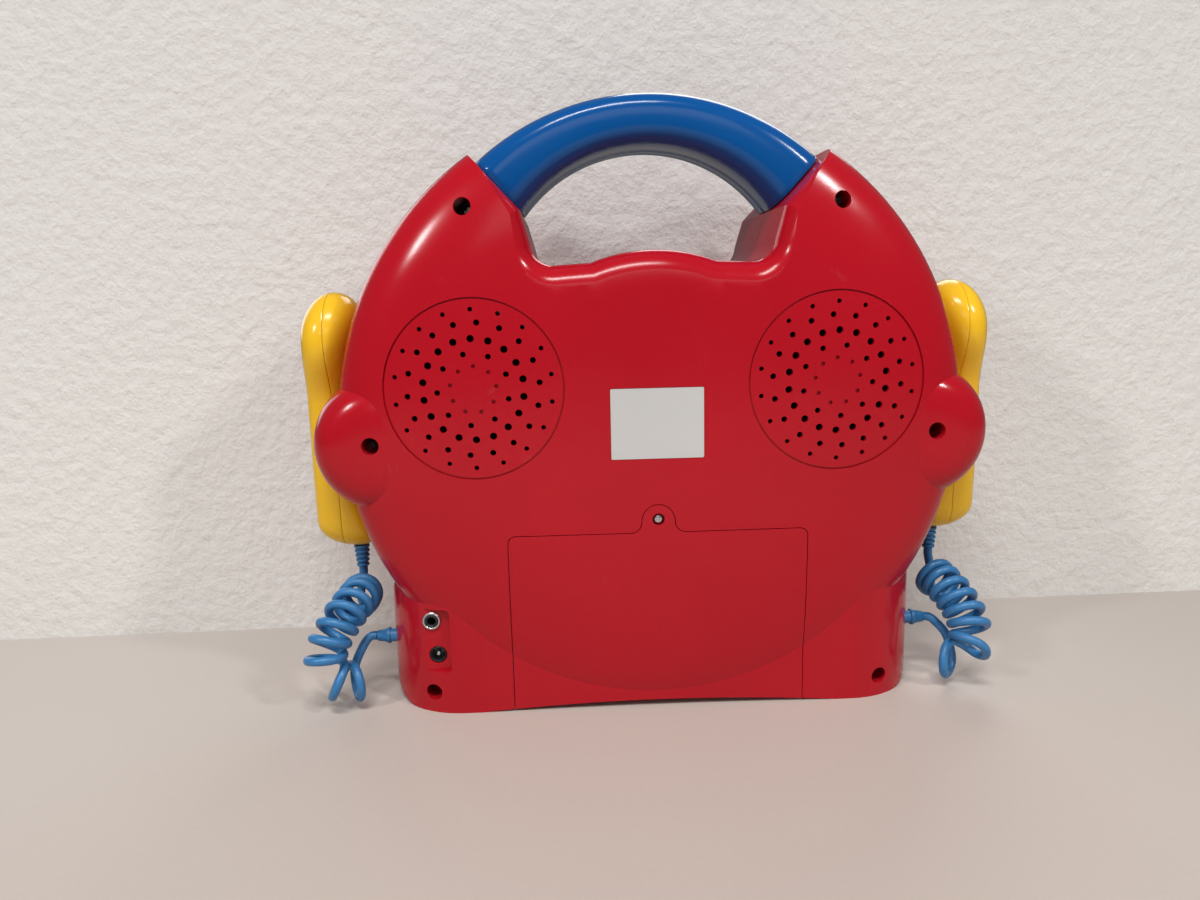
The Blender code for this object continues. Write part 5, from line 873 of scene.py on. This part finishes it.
def buildRearShell():
    outer = coverForm("rearOuter", 1)
    print("rear form", len(outer.data.polygons))
    supports = screwRods("rearPosts", screws["post"], -4, beyondRear, 24)
    tub = pocketForm("pocketTub", casing["wall"], 56)
    hollow = coverHollow("rearHollow", 1, joined("rearSupports", [supports, tub]))
    shell = twin(outer, "rearShell")
    combine(shell, hollow)
    print("rear shell hollowed", len(shell.data.polygons))
    hatch = twin(shell, "batteryHatch")
    combine(hatch, frontPrism("hatchPrism", doorOutline(0), 41.0, 54.0), "INTERSECT")

    # speaker faces lie a little deeper, down to the dome set back, with a fine groove round each
    inner = sunkDome("dipDome", speakers["dip"])
    dips = joined("dips", [speakerRod("dip" + name, side, 0, 20, beyondRear)
                           for name, side in sides])
    combine(dips, inner)
    combine(shell, dips)
    grooves = []
    for name, side in sides:
        ring = speakerRod("ring" + name, side, 0.3, 30, beyondRear)
        grooves.append(combine(ring, speakerRod("ringCore", side, -0.35, 20, 70)))
    combine(shell, combine(joined("grooves", grooves), sunkDome("grooveDome", 1.0)))
    across, high = label["halfWide"], label["halfHigh"]
    labelDip = boxForm("labelDip", (-across, rearY - label["dip"], label["z"] - high),
                       (across, rearY + 3, label["z"] + high))
    openHoles, blindHoles = grilleTools()
    combine(blindHoles, sunkDome("blindDome", 1.5, 96, 24))
    wells = screwRods("screwWells", screws["recess"], screws["seatY"], beyondRear)
    shanks = screwRods("shankBores", screws["shank"], 0, screws["seatY"] + 1)
    hollowPocket = pocketForm("pocketSpace", 0, beyondRear)
    roundEdges(hollowPocket, 2.2, 6, alongY)
    bores = [deepRod(name + "Bore", radius, x, z, 36, 43)
             for name, (x, z, radius) in sockets.items()]
    s, g = switchSlot, gland
    for name, side in sides:
        bores.append(rod("glandBore" + name, g["bore"], (side * s["from"], g["y"], g["z"]),
                         (side * s["to"], g["y"], g["z"])))
    bores.append(boxForm("switchSlot", (s["from"], s["y"] - s["halfY"], s["z"] - s["halfZ"]),
                         (s["to"], s["y"] + s["halfY"], s["z"] + s["halfZ"])))
    hatchSpace = frontPrism("hatchSpace", doorOutline(door["gap"]), 30.0, 54.0)
    for tool in (hatchSpace, labelDip, openHoles, blindHoles, wells, shanks, hollowPocket,
                 joined("smallBores", bores)):
        combine(shell, tool)
    bpy.data.objects.remove(outer, do_unlink=True)
    smoothShade(shell, 14)
    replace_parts(dress(shell, "red_plastic"), "rear_cover")
    print("rear shell", len(shell.data.polygons))

    combine(hatch, deepRod("hatchScrewBore", 2.45, 0, door["screwZ"], 30, beyondRear))
    smoothShade(hatch, 14)
    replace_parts(dress(hatch, "red_plastic", "battery_hatch"), "battery_door")


buildRearShell()


# Front shell with its lid opening and key holes

front = {
    "lidRadius": 62.5, "lidGap": 0.8, "lidThick": 2.6, "windowRadius": 40.0, "windowThick": 1.4,
    "keyRadius": 6.5, "keyRing": 79.5,
    "keys": {"skip_back": -50, "stop": -31, "play": 31, "skip_forward": 50},  # degrees
    "openRadius": 5.5, "openRing": 74.0, "openDegrees": 135, "knobX": 83.0, "knobRadius": 11.0,
    "flutes": 28, "displayZ": 39.3, "displayHalf": (20.0, 6.5),
}
hinge = {"y": -42.525, "z": 54.5, "radius": 1.9, "half": 13.5, "pin": 1.0, "pinLong": 2.0}


def ringPlace(degrees, radius):
    turn = math.radians(degrees)
    return radius * math.sin(turn), casing["discZ"] - radius * math.cos(turn)


def keyPlaces():
    places = {name: ringPlace(degrees, front["keyRing"]) + (front["keyRadius"],)
              for name, degrees in front["keys"].items()}
    places["open"] = ringPlace(front["openDegrees"], front["openRing"]) + (front["openRadius"],)
    return places


def buildFrontShell():
    outer = coverForm("frontOuter", -1)
    posts = screwRods("frontPosts", screws["post"], beyondFront, 10, 24)
    block = boxForm("hingeBlock", (-18, beyondFront, 50.0), (18, -37.5, 56.0))
    hollow = coverHollow("frontHollow", -1, joined("frontSupports", [posts, block]))
    combine(outer, hollow)
    outer.name = "frontShell"
    f, discZ = front, casing["discZ"]
    holes = [deepRod("lidHole", f["lidRadius"] + f["lidGap"], 0, discZ, beyondFront, -39.5, 144)]
    for name, (x, z, radius) in keyPlaces().items():
        holes.append(deepRod("keyHole" + name, radius + 0.3, x, z, beyondFront, -39, 48))
    for name, side in sides:
        holes.append(deepRod("knobHole" + name, 3.3, side * f["knobX"], discZ, beyondFront, -30,
                             32))
    across, high = f["displayHalf"]
    window = boxForm("displayHole", (-across, beyondFront, f["displayZ"] - high),
                     (across, -39.8, f["displayZ"] + high))
    roundEdges(window, 1.2, 4, alongY)
    holes.append(window)
    combine(outer, joined("frontHoles", holes))
    h = hinge
    combine(outer, boxForm("hingeNotch", (-h["half"] - 0.3, beyondFront, h["z"] - 2.2),
                           (h["half"] + 0.3, h["y"] + 2.2, 58.1)))
    smoothShade(outer, 14)
    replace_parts(dress(outer, "red_plastic"), "front_cover")
    print("front shell", len(outer.data.polygons))


buildFrontShell()


# Disc lid with its clear window

def buildLid():
    f, h = front, hinge
    back = frontY + f["lidThick"]
    radius, thick = f["lidRadius"], f["lidThick"]
    inner, ledge = f["windowRadius"] + 0.3, f["windowRadius"] - 3.0
    profile = [(ledge, 0), (radius - 0.5, 0), (radius, 0.5), (radius, thick - 0.9)]
    for step in range(1, 5):
        turn = math.radians(90 * step / 4)
        profile.append((radius - 0.9 * (1 - math.cos(turn)), thick - 0.9 + 0.9 * math.sin(turn)))
    profile += [(radius - 6.0, thick), (radius - 6.6, thick - 0.35), (radius - 7.4, thick - 0.35),
                (radius - 8.0, thick), (inner + 1.2, thick), (inner + 0.3, thick - 0.25),
                (inner, thick - 0.8), (inner, thick - f["windowThick"] - 0.3),
                (ledge, thick - f["windowThick"] - 0.3), (ledge, 0)]
    lid = turnedForm("lidRing", (0, back, casing["discZ"]), (0, -1, 0), profile, 144, closed=True)
    edgeZ = casing["discZ"] - math.sqrt(radius ** 2 - h["half"] ** 2)
    tools = [boxForm("lidArm", (-h["half"], frontY + 0.08, h["z"]),
                     (h["half"], back - 0.08, edgeZ + 1.5))]
    for name, size, half, steps in (("lidBarrel", h["radius"], h["half"], 32),
                                    ("lidPin", h["pin"], h["half"] + h["pinLong"], 24)):
        tools.append(rod(name, size, (-half, h["y"], h["z"]), (half, h["y"], h["z"]), steps))
    for tool in tools:
        combine(lid, tool, "UNION")
    smoothShade(lid)
    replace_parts(dress(lid, "red_plastic", "lid"), "disc_lid")
    wide = f["windowRadius"]
    pane = turnedForm("lidPane", (0, frontY, casing["discZ"]), (0, -1, 0),
                      [(wide, -f["windowThick"]), (wide, -0.3), (wide - 0.3, 0), (wide * 0.6, 0),
                       (wide * 0.3, 0)], 144)
    smoothShade(pane)
    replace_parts(dress(pane, "clear_plastic", "lid"), "lid_window")


buildLid()
print("lid made")


# Keys and knobs of the front

signs = {  # outlines in millimetres about the key's middle, seen from the front
    "play": [[(-1.7, -2.4), (2.5, 0), (-1.7, 2.4)]],
    "stop": [[(-2.0, -2.0), (2.0, -2.0), (2.0, 2.0), (-2.0, 2.0)]],
    "skip_forward": [[(-2.6, -2.2), (1.2, 0), (-2.6, 2.2)],
                     [(1.5, -2.2), (2.4, -2.2), (2.4, 2.2), (1.5, 2.2)]],
    "skip_back": [[(2.6, -2.2), (2.6, 2.2), (-1.2, 0)],
                  [(-2.4, -2.2), (-1.5, -2.2), (-1.5, 2.2), (-2.4, 2.2)]],
    "open": [[(-2.3, -0.6), (2.3, -0.6), (0, 2.2)],
             [(-2.3, -2.2), (2.3, -2.2), (2.3, -1.3), (-2.3, -1.3)]],
}


def depthOf(node):  # where the CAD node starts and ends, going forwards
    lowest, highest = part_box(node)
    return highest[1] / mm, lowest[1] / mm


def buildKeys():
    for name, (x, z, radius) in keyPlaces().items():
        finish, signFinish = "yellow_plastic", "blue_plastic"
        if name == "open":
            finish, signFinish = "blue_plastic", "white_plastic"
        node = f"{name}_button"
        back, top = depthOf(node)
        long = back - top
        cap = turnedForm(name + "Key", (x, back, z), (0, -1, 0),
                         [(radius + 1.1, 0), (radius + 1.1, 1.0), (radius, 1.0),
                          (radius, long - 1.25), (radius - 0.12, long - 0.8),
                          (radius - 0.45, long - 0.45), (radius - 0.95, long - 0.3),
                          (radius * 0.5, long - 0.34)], 48)
        smoothShade(cap, 40)
        dress(cap, finish, f"{name}_key")
        for outline in signs[name]:
            mark = frontPrism("mark", [(x + u, z + v) for u, v in outline], top + 1.2, top + 0.02)
            mark.data.materials.append(materials[signFinish])
            cap = joined(cap.name, [cap, mark])
        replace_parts(cap, node)


def buildKnobs():
    for name, side in (("volume", -1), ("microphone_volume", 1)):
        node = name + "_knob"
        back, top = depthOf(node)
        long, x, z = back - top, side * front["knobX"], casing["discZ"]
        radius, flutes = front["knobRadius"], front["flutes"]
        knob = turnedForm(name.replace("_v", "V") + "Knob", (x, back, z), (0, -1, 0),
                          [(2.9, 0), (2.9, long - 5.7), (radius - 0.05, long - 5.7),
                           (radius - 0.05, long - 1.9), (radius - 0.4, long - 0.9),
                           (radius - 1.2, long - 0.35), (radius - 2.2, long - 0.3),
                           (radius * 0.4, long - 0.55)], 84)
        turns = [2 * math.pi * (step + 0.5) / flutes for step in range(flutes)]
        places = [(x + radius * math.cos(turn), z + radius * math.sin(turn)) for turn in turns]
        cuts = spread(deepRod("flute", 0.45, 0, 0, top - 1, top + 4.6, 10), "flute", places)
        combine(knob, joined("flutes", cuts))
        smoothShade(knob, 35)
        dress(knob, "yellow_plastic", name + "_dial")
        mark = boxForm("pointer", (x - 0.55, top + 0.02, z + 3.2),
                       (x + 0.55, top + 1.2, z + radius - 2.4), 0.25, 2)
        mark.data.materials.append(materials["blue_plastic"])
        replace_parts(joined(knob.name, [knob, mark]), node)


buildKeys()
buildKnobs()
print("keys and knobs made")


# Handle

handle = {"inner": 228.4, "top": 249.5, "halfDeep": 23.0, "power": 3.4, "backOff": 0.6,
          "steps": 48, "points": 56, "halfSeam": 0.16, "seamDepth": 0.35}


def handleRings():
    innerHalf, outerHalf = opening["hornInner"][0], opening["hornOuter"][0]
    innerRise = handle["inner"] - opening["hornInner"][1]
    outerRise = handle["top"] - opening["hornOuter"][1]
    innerRadius = (innerHalf ** 2 + innerRise ** 2) / (2 * innerRise)
    outerRadius = (outerHalf ** 2 + outerRise ** 2) / (2 * outerRise)
    innerTurn, outerTurn = math.asin(innerHalf / innerRadius), math.asin(outerHalf / outerRadius)
    end = 1 - handle["backOff"] / (outerRadius * outerTurn)
    rings = []
    for step in range(handle["steps"] + 1):
        share = end * (2 * step / handle["steps"] - 1)
        low = Vector((innerRadius * math.sin(innerTurn * share), 0,
                      handle["inner"] - innerRadius * (1 - math.cos(innerTurn * share))))
        high = Vector((outerRadius * math.sin(outerTurn * share), 0,
                       handle["top"] - outerRadius * (1 - math.cos(outerTurn * share))))
        middle, reach = (low + high) / 2, (high - low) / 2
        ring = []
        for number in range(handle["points"]):
            turn = 2 * math.pi * (number + 0.5) / handle["points"]
            place = middle + reach * blunt(math.cos(turn), handle["power"])
            ring.append((place.x, casing["partingY"] + handle["halfDeep"]
                         * blunt(math.sin(turn), handle["power"]), place.z))
        rings.append(ring)
    return rings


def buildHandle():
    grip = drawnForm("grip", handleRings())
    seam = boxForm("gripSeam", (-80, casing["partingY"] - handle["halfSeam"], 195),
                   (80, casing["partingY"] + handle["halfSeam"], 255))
    core = twin(grip, "gripCore")  # the seam is only cut skin deep
    editAll(core)
    bpy.ops.mesh.normals_make_consistent(inside=False)
    bpy.ops.transform.shrink_fatten(value=-handle["seamDepth"] * mm)
    leaveEdit()
    combine(seam, core)
    combine(grip, seam)
    softenEdges(grip, 0.5, 2, 60)
    smoothShade(grip)
    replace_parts(dress(grip, "blue_plastic"), "handle")
    print("handle", len(grip.data.polygons))


buildHandle()


# Microphones with their mesh and strain relief

mic = {
    "top": 173.2, "bottom": 63.0, "outerX": 146.0, "seat": 0.6, "crownX": 132.5, "shoulderZ": 143.0,
    "tailX": 128.0, "tailZ": 90.0, "headZ": 153.0, "headHalf": 19.5, "gripHighZ": 126.0,
    "gripHalf": 11.2, "gripLowZ": 92.0, "bulbZ": 74.5, "bulbHalf": 10.5, "power": 2.4,
    "partingX": 133.7, "meshRadius": 9.5, "meshZ": 151.5, "meshX": 144.2, "meshBulge": 2.4,
    "reliefRadius": 3.4, "reliefLong": 9.5, "reliefRibs": 5, "groove": 0.8, "wall": 1.8,
    "halfSeam": 0.12, "points": 64, "midRings": 30,
    "endDegrees": (10, 20, 30, 40, 49, 58, 67, 75, 82, 88),  # rings of the rounded ends
}


def micSection(z):
    m = mic
    fullness = 1.0
    if z > m["headZ"]:
        fullness = math.sqrt(max(0.0, 1 - ((z - m["headZ"]) / (m["top"] - m["headZ"])) ** 2))
    elif z < m["bulbZ"]:
        fullness = math.sqrt(max(0.0, 1 - ((m["bulbZ"] - z) / (m["bulbZ"] - m["bottom"])) ** 2))
    rise = ease((z - m["tailZ"]) / (m["shoulderZ"] - m["tailZ"]))
    middle = m["tailX"] + (m["crownX"] - m["tailX"]) * rise
    outer = middle + (m["outerX"] - middle) * fullness
    casingX = math.sqrt((casing["discRadius"] + m["seat"]) ** 2 - (z - casing["discZ"]) ** 2)
    inner = middle - (middle - casingX) * fullness
    swell = ease((z - m["gripHighZ"]) / (m["headZ"] - m["gripHighZ"]))
    taper = ease((m["gripLowZ"] - z) / (m["gripLowZ"] - m["bulbZ"]))
    half = m["gripHalf"] + (m["headHalf"] - m["gripHalf"]) * swell \
        + (m["bulbHalf"] - m["gripHalf"]) * taper
    return inner, outer, half * fullness


def buildMicrophone(sideName, side):
    m = mic
    low = [m["bulbZ"] - (m["bulbZ"] - m["bottom"]) * math.sin(math.radians(a))
           for a in reversed(m["endDegrees"])]
    high = [m["headZ"] + (m["top"] - m["headZ"]) * math.sin(math.radians(a))
            for a in (0, *m["endDegrees"])]
    middle = [m["bulbZ"] + (m["headZ"] - m["bulbZ"]) * step / m["midRings"]
              for step in range(m["midRings"])]
    turns = [2 * math.pi * (step + 0.5) / m["points"] for step in range(m["points"])]
    rings = []
    for z in low + middle + high:
        innerX, outerX, half = micSection(z)
        centre, reach = (outerX + innerX) / 2, (outerX - innerX) / 2
        rings.append([(side * (centre + reach * blunt(math.cos(turn), m["power"])),
                       casing["partingY"] + half * blunt(math.sin(turn), m["power"]), z)
                      for turn in turns])
    whole = drawnForm("handset" + sideName.title(), rings)
    core = twin(whole, "handsetCore")
    editAll(core)
    bpy.ops.transform.shrink_fatten(value=-m["wall"] * mm)
    leaveEdit()
    combine(whole, core)
    halves = []
    for half, near, far in (("Inner", m["partingX"] - m["halfSeam"], 100),
                            ("Outer", m["partingX"] + m["halfSeam"], 160)):
        lowX, highX = sorted((side * near, side * far))
        shell = twin(whole, "mic" + sideName.title() + half)
        combine(shell, boxForm("halfSpace", (lowX, -30, 50), (highX, 40, 180)), "INTERSECT")
        halves.append(shell)
    bpy.data.objects.remove(whole, do_unlink=True)
    combine(halves[1], rod("meshHole", m["meshRadius"] + 0.5,
                           (side * (m["meshX"] - 6), casing["partingY"], m["meshZ"]),
                           (side * 152, casing["partingY"], m["meshZ"]), 64))
    body = sideName + "_microphone"
    for shell, node in zip(halves, ("inner", "outer")):
        softenEdges(shell, 0.22, 2, 55)
        smoothShade(shell, 40)
        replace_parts(dress(shell, "yellow_plastic", body), f"microphone_{sideName}_{node}_shell")
    buildMesh(sideName, side, body)
    buildRelief(sideName, side, body)


def buildMesh(sideName, side, body):  # a rim with a woven wire dome in it
    m = mic
    place = (side * m["meshX"], casing["partingY"], m["meshZ"])
    radius = m["meshRadius"]
    rim = turnedForm("meshRim" + sideName.title(), place, (side, 0, 0),
                     [(radius, -1.8), (radius, 0.0), (radius - 0.35, 0.45), (radius - 1.1, 0.5),
                      (radius - 1.5, 0.1), (radius - 1.5, -1.8), (radius, -1.8)], 64, closed=True)
    startFresh()
    bpy.ops.mesh.primitive_grid_add(x_subdivisions=26, y_subdivisions=26, size=2 * radius * mm,
                                    rotation=(0, math.radians(90), 0))
    weave = bpy.context.object
    weave.name = "wire"
    settle(weave)
    editAll(weave)
    bpy.ops.mesh.select_mode(type="VERT")
    bpy.ops.mesh.select_all(action="DESELECT")
    live = bmesh.from_edit_mesh(weave.data)
    for vertex in live.verts:
        far = math.hypot(vertex.co.y, vertex.co.z) / mm
        vertex.select_set(far > radius - 1.0)
        vertex.co.x = side * (m["meshBulge"] * (1 - min(far / radius, 1.0) ** 2) - 0.25) * mm
    live.select_flush_mode()
    bmesh.update_edit_mesh(weave.data)
    bpy.ops.mesh.delete(type="VERT")
    leaveEdit()
    strands = weave.modifiers.new("strands", "WIREFRAME")
    strands.thickness, strands.use_even_offset = 0.3 * mm, True
    pick(weave)
    bpy.ops.object.modifier_apply(modifier="strands")
    shift(weave, place)
    backing = turnedForm("backing", place, (side, 0, 0),
                         [(radius - 1.4, -1.4), (radius - 1.4, -0.9), (radius - 3, 0.5),
                          (radius - 6, 1.25), (radius - 9, 1.5)], 48)
    smoothShade(backing)
    piece = joined("micMesh" + sideName.title(), [rim, weave, backing])
    smoothShade(piece)
    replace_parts(dress(piece, "black_plastic", body), f"microphone_{sideName}_grille")


def buildRelief(sideName, side, body):
    m = mic
    rib = m["reliefLong"] / (2 * m["reliefRibs"] - 1)
    profile = [(1.7, 4.7), (1.7, -0.3)]
    for step in range(2 * m["reliefRibs"] - 1):
        radius = m["reliefRadius"] - 0.08 * step - (m["groove"] if step % 2 else 0)
        top = -0.3 - rib * step
        profile += [(radius - 0.15, top), (radius, top - rib * 0.2), (radius, top - rib * 0.8),
                    (radius - 0.15, top - rib)]
    profile += [(1.75, -0.3 - m["reliefLong"])]
    sleeve = turnedForm("relief" + sideName.title(),
                        (side * m["tailX"], casing["partingY"], m["bottom"]), (0, 0, 1),
                        profile, 40)
    smoothShade(sleeve, 50)
    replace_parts(dress(sleeve, "blue_cord", body), f"microphone_{sideName}_relief")


for name, side in sides:
    buildMicrophone(name, side)
print("microphones made")


# Sockets, glands, screws and label

def buildGlands():
    profile = [(4.5, -6.5), (4.5, -5.3), (2.8, -5.3), (2.8, 1.2), (3.4, 1.4), (3.5, 2.4),
               (3.0, 2.7), (2.9, 3.6), (2.6, 3.9), (2.55, 5.4), (2.4, 5.8), (2.3, 6.9), (1.9, 7.0)]
    for name, side in sides:
        piece = turnedForm("gland" + name.title(),
                           (side * casing["baseHalf"], gland["y"], gland["z"]), (side, 0, 0),
                           profile, 40)
        smoothShade(piece, 50)
        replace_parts(dress(piece, "blue_cord"), "cord_gland_" + name)


def socketPart(name, socket, profile, steps=40, closed=True):
    x, z = sockets[socket][:2]
    piece = turnedForm(name, (x, pocket["floorY"], z), (0, 1, 0), profile, steps, closed)
    return smoothShade(piece)


def buildSockets():
    jack = socketPart("jackBarrel", "jack",
                      [(1.8, -11.8), (4.8, -11.8), (4.8, -3.0), (2.65, -3.0), (2.65, 0.95),
                       (2.4, 1.25), (2.0, 1.3), (1.8, 1.1), (1.8, -11.8)])
    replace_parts(dress(jack, "black_plastic"), "audio_jack")
    nut = socketPart("jackNut", "jack",
                     [(2.72, 0.02), (3.7, 0.02), (3.7, 0.75), (3.45, 1.0), (2.95, 1.0),
                      (2.72, 0.8), (2.72, 0.02)])
    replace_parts(dress(nut, "steel"), "audio_jack_nut")
    socket = socketPart("powerInlet", "power",
                        [(2.85, -8.5), (4.6, -8.5), (4.6, -3.0), (3.4, -3.0), (3.4, -0.25),
                         (3.2, 0.0), (3.0, 0.0), (2.85, -0.2), (2.85, -8.5)])
    pin = socketPart("inletPin", "power",
                     [(3.0, -9.4), (3.0, -8.2), (0.95, -8.2), (0.95, -1.2), (0.6, -0.8),
                      (0.25, -0.7)], 24, False)
    dress(pin, "steel")
    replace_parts(dress(socket, "black_plastic"), "power_socket")


def crossScrew(name, radius, height, place, length, shank=1.4):
    head = turnedForm(name, place, (0, 1, 0),
                      [(shank, -length), (shank, 0), (radius, 0), (radius, height * 0.45),
                       (radius * 0.92, height * 0.75), (radius * 0.7, height * 0.95),
                       (radius * 0.3, height)], 36)
    x, y, z = place
    wide, reach, floor, top = radius * 0.16, radius * 0.62, y + height * 0.45, y + height + 1
    bars = [boxForm("bar", (x - halfX, floor, z - halfZ), (x + halfX, top, z + halfZ))
            for halfX, halfZ in ((reach, wide), (wide, reach))]
    for bar in bars:
        combine(head, bar)
    smoothShade(head, 40)
    return head


def buildScrews():
    for number, level in enumerate(("top", "middle", "bottom")):
        x, z = screws["places"][number]
        for name, side in sides:
            piece = crossScrew(f"screw{level.title()}{name.title()}", 3.0, 2.2,
                               (side * x, screws["seatY"] + 0.02, z), 22.0)
            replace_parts(dress(piece, "steel"), f"case_screw_{level}_{name}")
    hatchScrew = crossScrew("hatchScrew", 1.84, 1.1, (0, 48.7, door["screwZ"]), 7.4, 1.2)
    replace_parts(dress(hatchScrew, "steel", "battery_hatch"), "battery_door_screw")


def buildLabel():
    wide, high = label["halfWide"] - label["edge"], label["halfHigh"] - label["edge"]
    back = rearY - label["dip"] + 0.01
    plate = boxForm("ratingPlate", (-wide, back, label["z"] - high),
                    (wide, back + label["thick"], label["z"] + high))
    roundEdges(plate, 0.5, 3, alongY)
    dress(plate, "white_plastic")
    plate.data.materials.clear()
    plate.data.materials.append(materials["bare_label"])


def buildLabelFinish():
    materials["bare_label"], tree, shader, place = newMaterial("bare_label")
    skin = groupNode(tree, groups["skin"], place, Fine=2500.0)
    dust = groupNode(tree, groups["dust"], place, Amount=0.5)
    base = mixColour(tree, skin.outputs["Tint"], (0.50, 0.49, 0.475), (0.57, 0.56, 0.545))
    wire(tree, mixColour(tree, dust.outputs["Dust"], base, dustColour),
         shader.inputs["Base Color"])
    wire(tree, rangeNode(tree, skin.outputs["Shine"], 0, 1, 0.34, 0.5), shader.inputs["Roughness"])
    raiseSkin(tree, shader, skin.outputs["Height"], 0.06, 0.0004)


buildGlands()
buildSockets()
buildScrews()
buildLabelFinish()
buildLabel()
print("rear fittings made")


# Carried-over CAD nodes get their finish by the record's slot

for node in nodes.values():
    for slot in node.material_slots:
        name = slot.material.name.split(".")[0]
        if name in materials:
            slot.material = materials[name]


# Floor, wall and light

stage = {  # place in metres, turn in degrees, grain of the surface, height of its bumps
    "floor": dict(colour=(0.52, 0.455, 0.405), size=2.6, place=(0, 0, 0), turn=(0, 0, 0),
                  grain=420.0, rough=0.55, bump=0.1, height=0.001),
    "wall": dict(colour=(0.60, 0.575, 0.55), size=6.0, place=(0, -0.0643, 0),
                 turn=(-90, 0, 1.07), grain=150.0, rough=0.75, bump=0.5, height=0.004),
}
wallPaintedLight = (0.76, 0.735, 0.70)  # painted light: the wall is painted paler near the floor, standing in for light falling there


def blend(tree, share, first, second, target):
    mixed = tree.nodes.new("ShaderNodeMixShader")
    for number, source in enumerate((share, first, second)):
        wire(tree, source, mixed.inputs[number])
    wire(tree, mixed.outputs[0], tree.nodes[target].inputs["Surface"])


def buildStage():
    for name, made in stage.items():
        startFresh()
        bpy.ops.mesh.primitive_plane_add(size=made["size"])
        plane = bpy.context.object
        plane.name = "backdrop" + name.title()
        plane.rotation_euler = [math.radians(turn) for turn in made["turn"]]
        plane.location = made["place"]
        settle(plane)
        material, tree, shader, place = newMaterial("backdrop" + name.title())
        grain = noiseNode(tree, place, made["grain"], 7.0, 0.6)
        broad = noiseNode(tree, place, 6.0, 3.0)
        share = mathNode(tree, "MULTIPLY", mathNode(tree, "ADD", grain, broad), 0.5)
        base = mixColour(tree, share, tuple(v * 0.93 for v in made["colour"]),
                         tuple(v * 1.06 for v in made["colour"]))
        if name == "wall":
            parts = tree.nodes.new("ShaderNodeSeparateXYZ")
            wire(tree, place, parts.inputs[0])
            # painted light: this mask paints the wall paler towards the floor
            low = rangeNode(tree, parts.outputs["Z"], 0.06, 0.30, 0.8, 0.0)
            base = mixColour(tree, low, base, wallPaintedLight)
            # only a camera in front of the wall sees it, so it doesn't hide the front
            rays = tree.nodes.new("ShaderNodeLightPath")
            facing = tree.nodes.new("ShaderNodeNewGeometry")
            seen = mathNode(tree, "MULTIPLY", rays.outputs["Is Camera Ray"],
                            mathNode(tree, "SUBTRACT", 1.0, facing.outputs["Backfacing"]))
            clear = tree.nodes.new("ShaderNodeBsdfTransparent")
            blend(tree, seen, clear.outputs[0], shader.outputs[0], "Material Output")
        wire(tree, base, shader.inputs["Base Color"])
        shader.inputs["Roughness"].default_value = made["rough"]
        raiseSkin(tree, shader, grain, made["bump"], made["height"])
        plane.data.materials.append(material)


lamps = {
    # name: place, aim, width and height in metres, power in watts
    "ceiling": ((0.15, 0.85, 1.45), (0, 0, 0.1), 0.7, 0.22, 16.5),
    "window": ((0.85, 0.75, 0.75), (0, 0, 0.12), 0.09, 0.15, 4.3),
    "doorway": ((-0.75, 0.70, 0.85), (0, 0, 0.12), 0.09, 0.15, 4.6),
    "bounce": ((0.0, 1.9, 0.9), (0, 0, 0.1), 1.2, 0.5, 3.0),
    "farSide": ((-0.4, -1.1, 1.0), (0, 0, 0.1), 0.8, 0.6, 5.0),
    "farFill": ((0.9, -1.1, 0.5), (0, 0, 0.1), 0.7, 0.7, 2.5),
}


def buildLight():
    for name, (place, aim, wide, high, power) in lamps.items():
        startFresh()
        bpy.ops.object.light_add(type="AREA", location=place)
        lamp = bpy.context.object
        lamp.name = name
        lamp.rotation_euler = (Vector(aim) - Vector(place)).to_track_quat("-Z", "Y").to_euler()
        lamp.data.shape, lamp.data.size, lamp.data.size_y = "RECTANGLE", wide, high
        lamp.data.energy = power
    world = bpy.data.worlds.new("roomLight")
    bpy.context.scene.world = world
    world.use_nodes = True
    tree = world.node_tree
    glow = tree.nodes["Background"]
    glow.inputs["Color"].default_value = (0.95, 0.97, 1.0, 1.0)
    glow.inputs["Strength"].default_value = 0.16
    far = tree.nodes.new("ShaderNodeBackground")  # the pale room that the camera sees
    far.inputs["Color"].default_value = (0.60, 0.575, 0.55, 1.0)
    rays = tree.nodes.new("ShaderNodeLightPath")
    blend(tree, rays.outputs["Is Camera Ray"], glow.outputs[0], far.outputs[0], "World Output")
    bpy.context.scene.view_settings.view_transform = "Standard"


buildStage()
buildLight()
startFresh()
print("stage set")
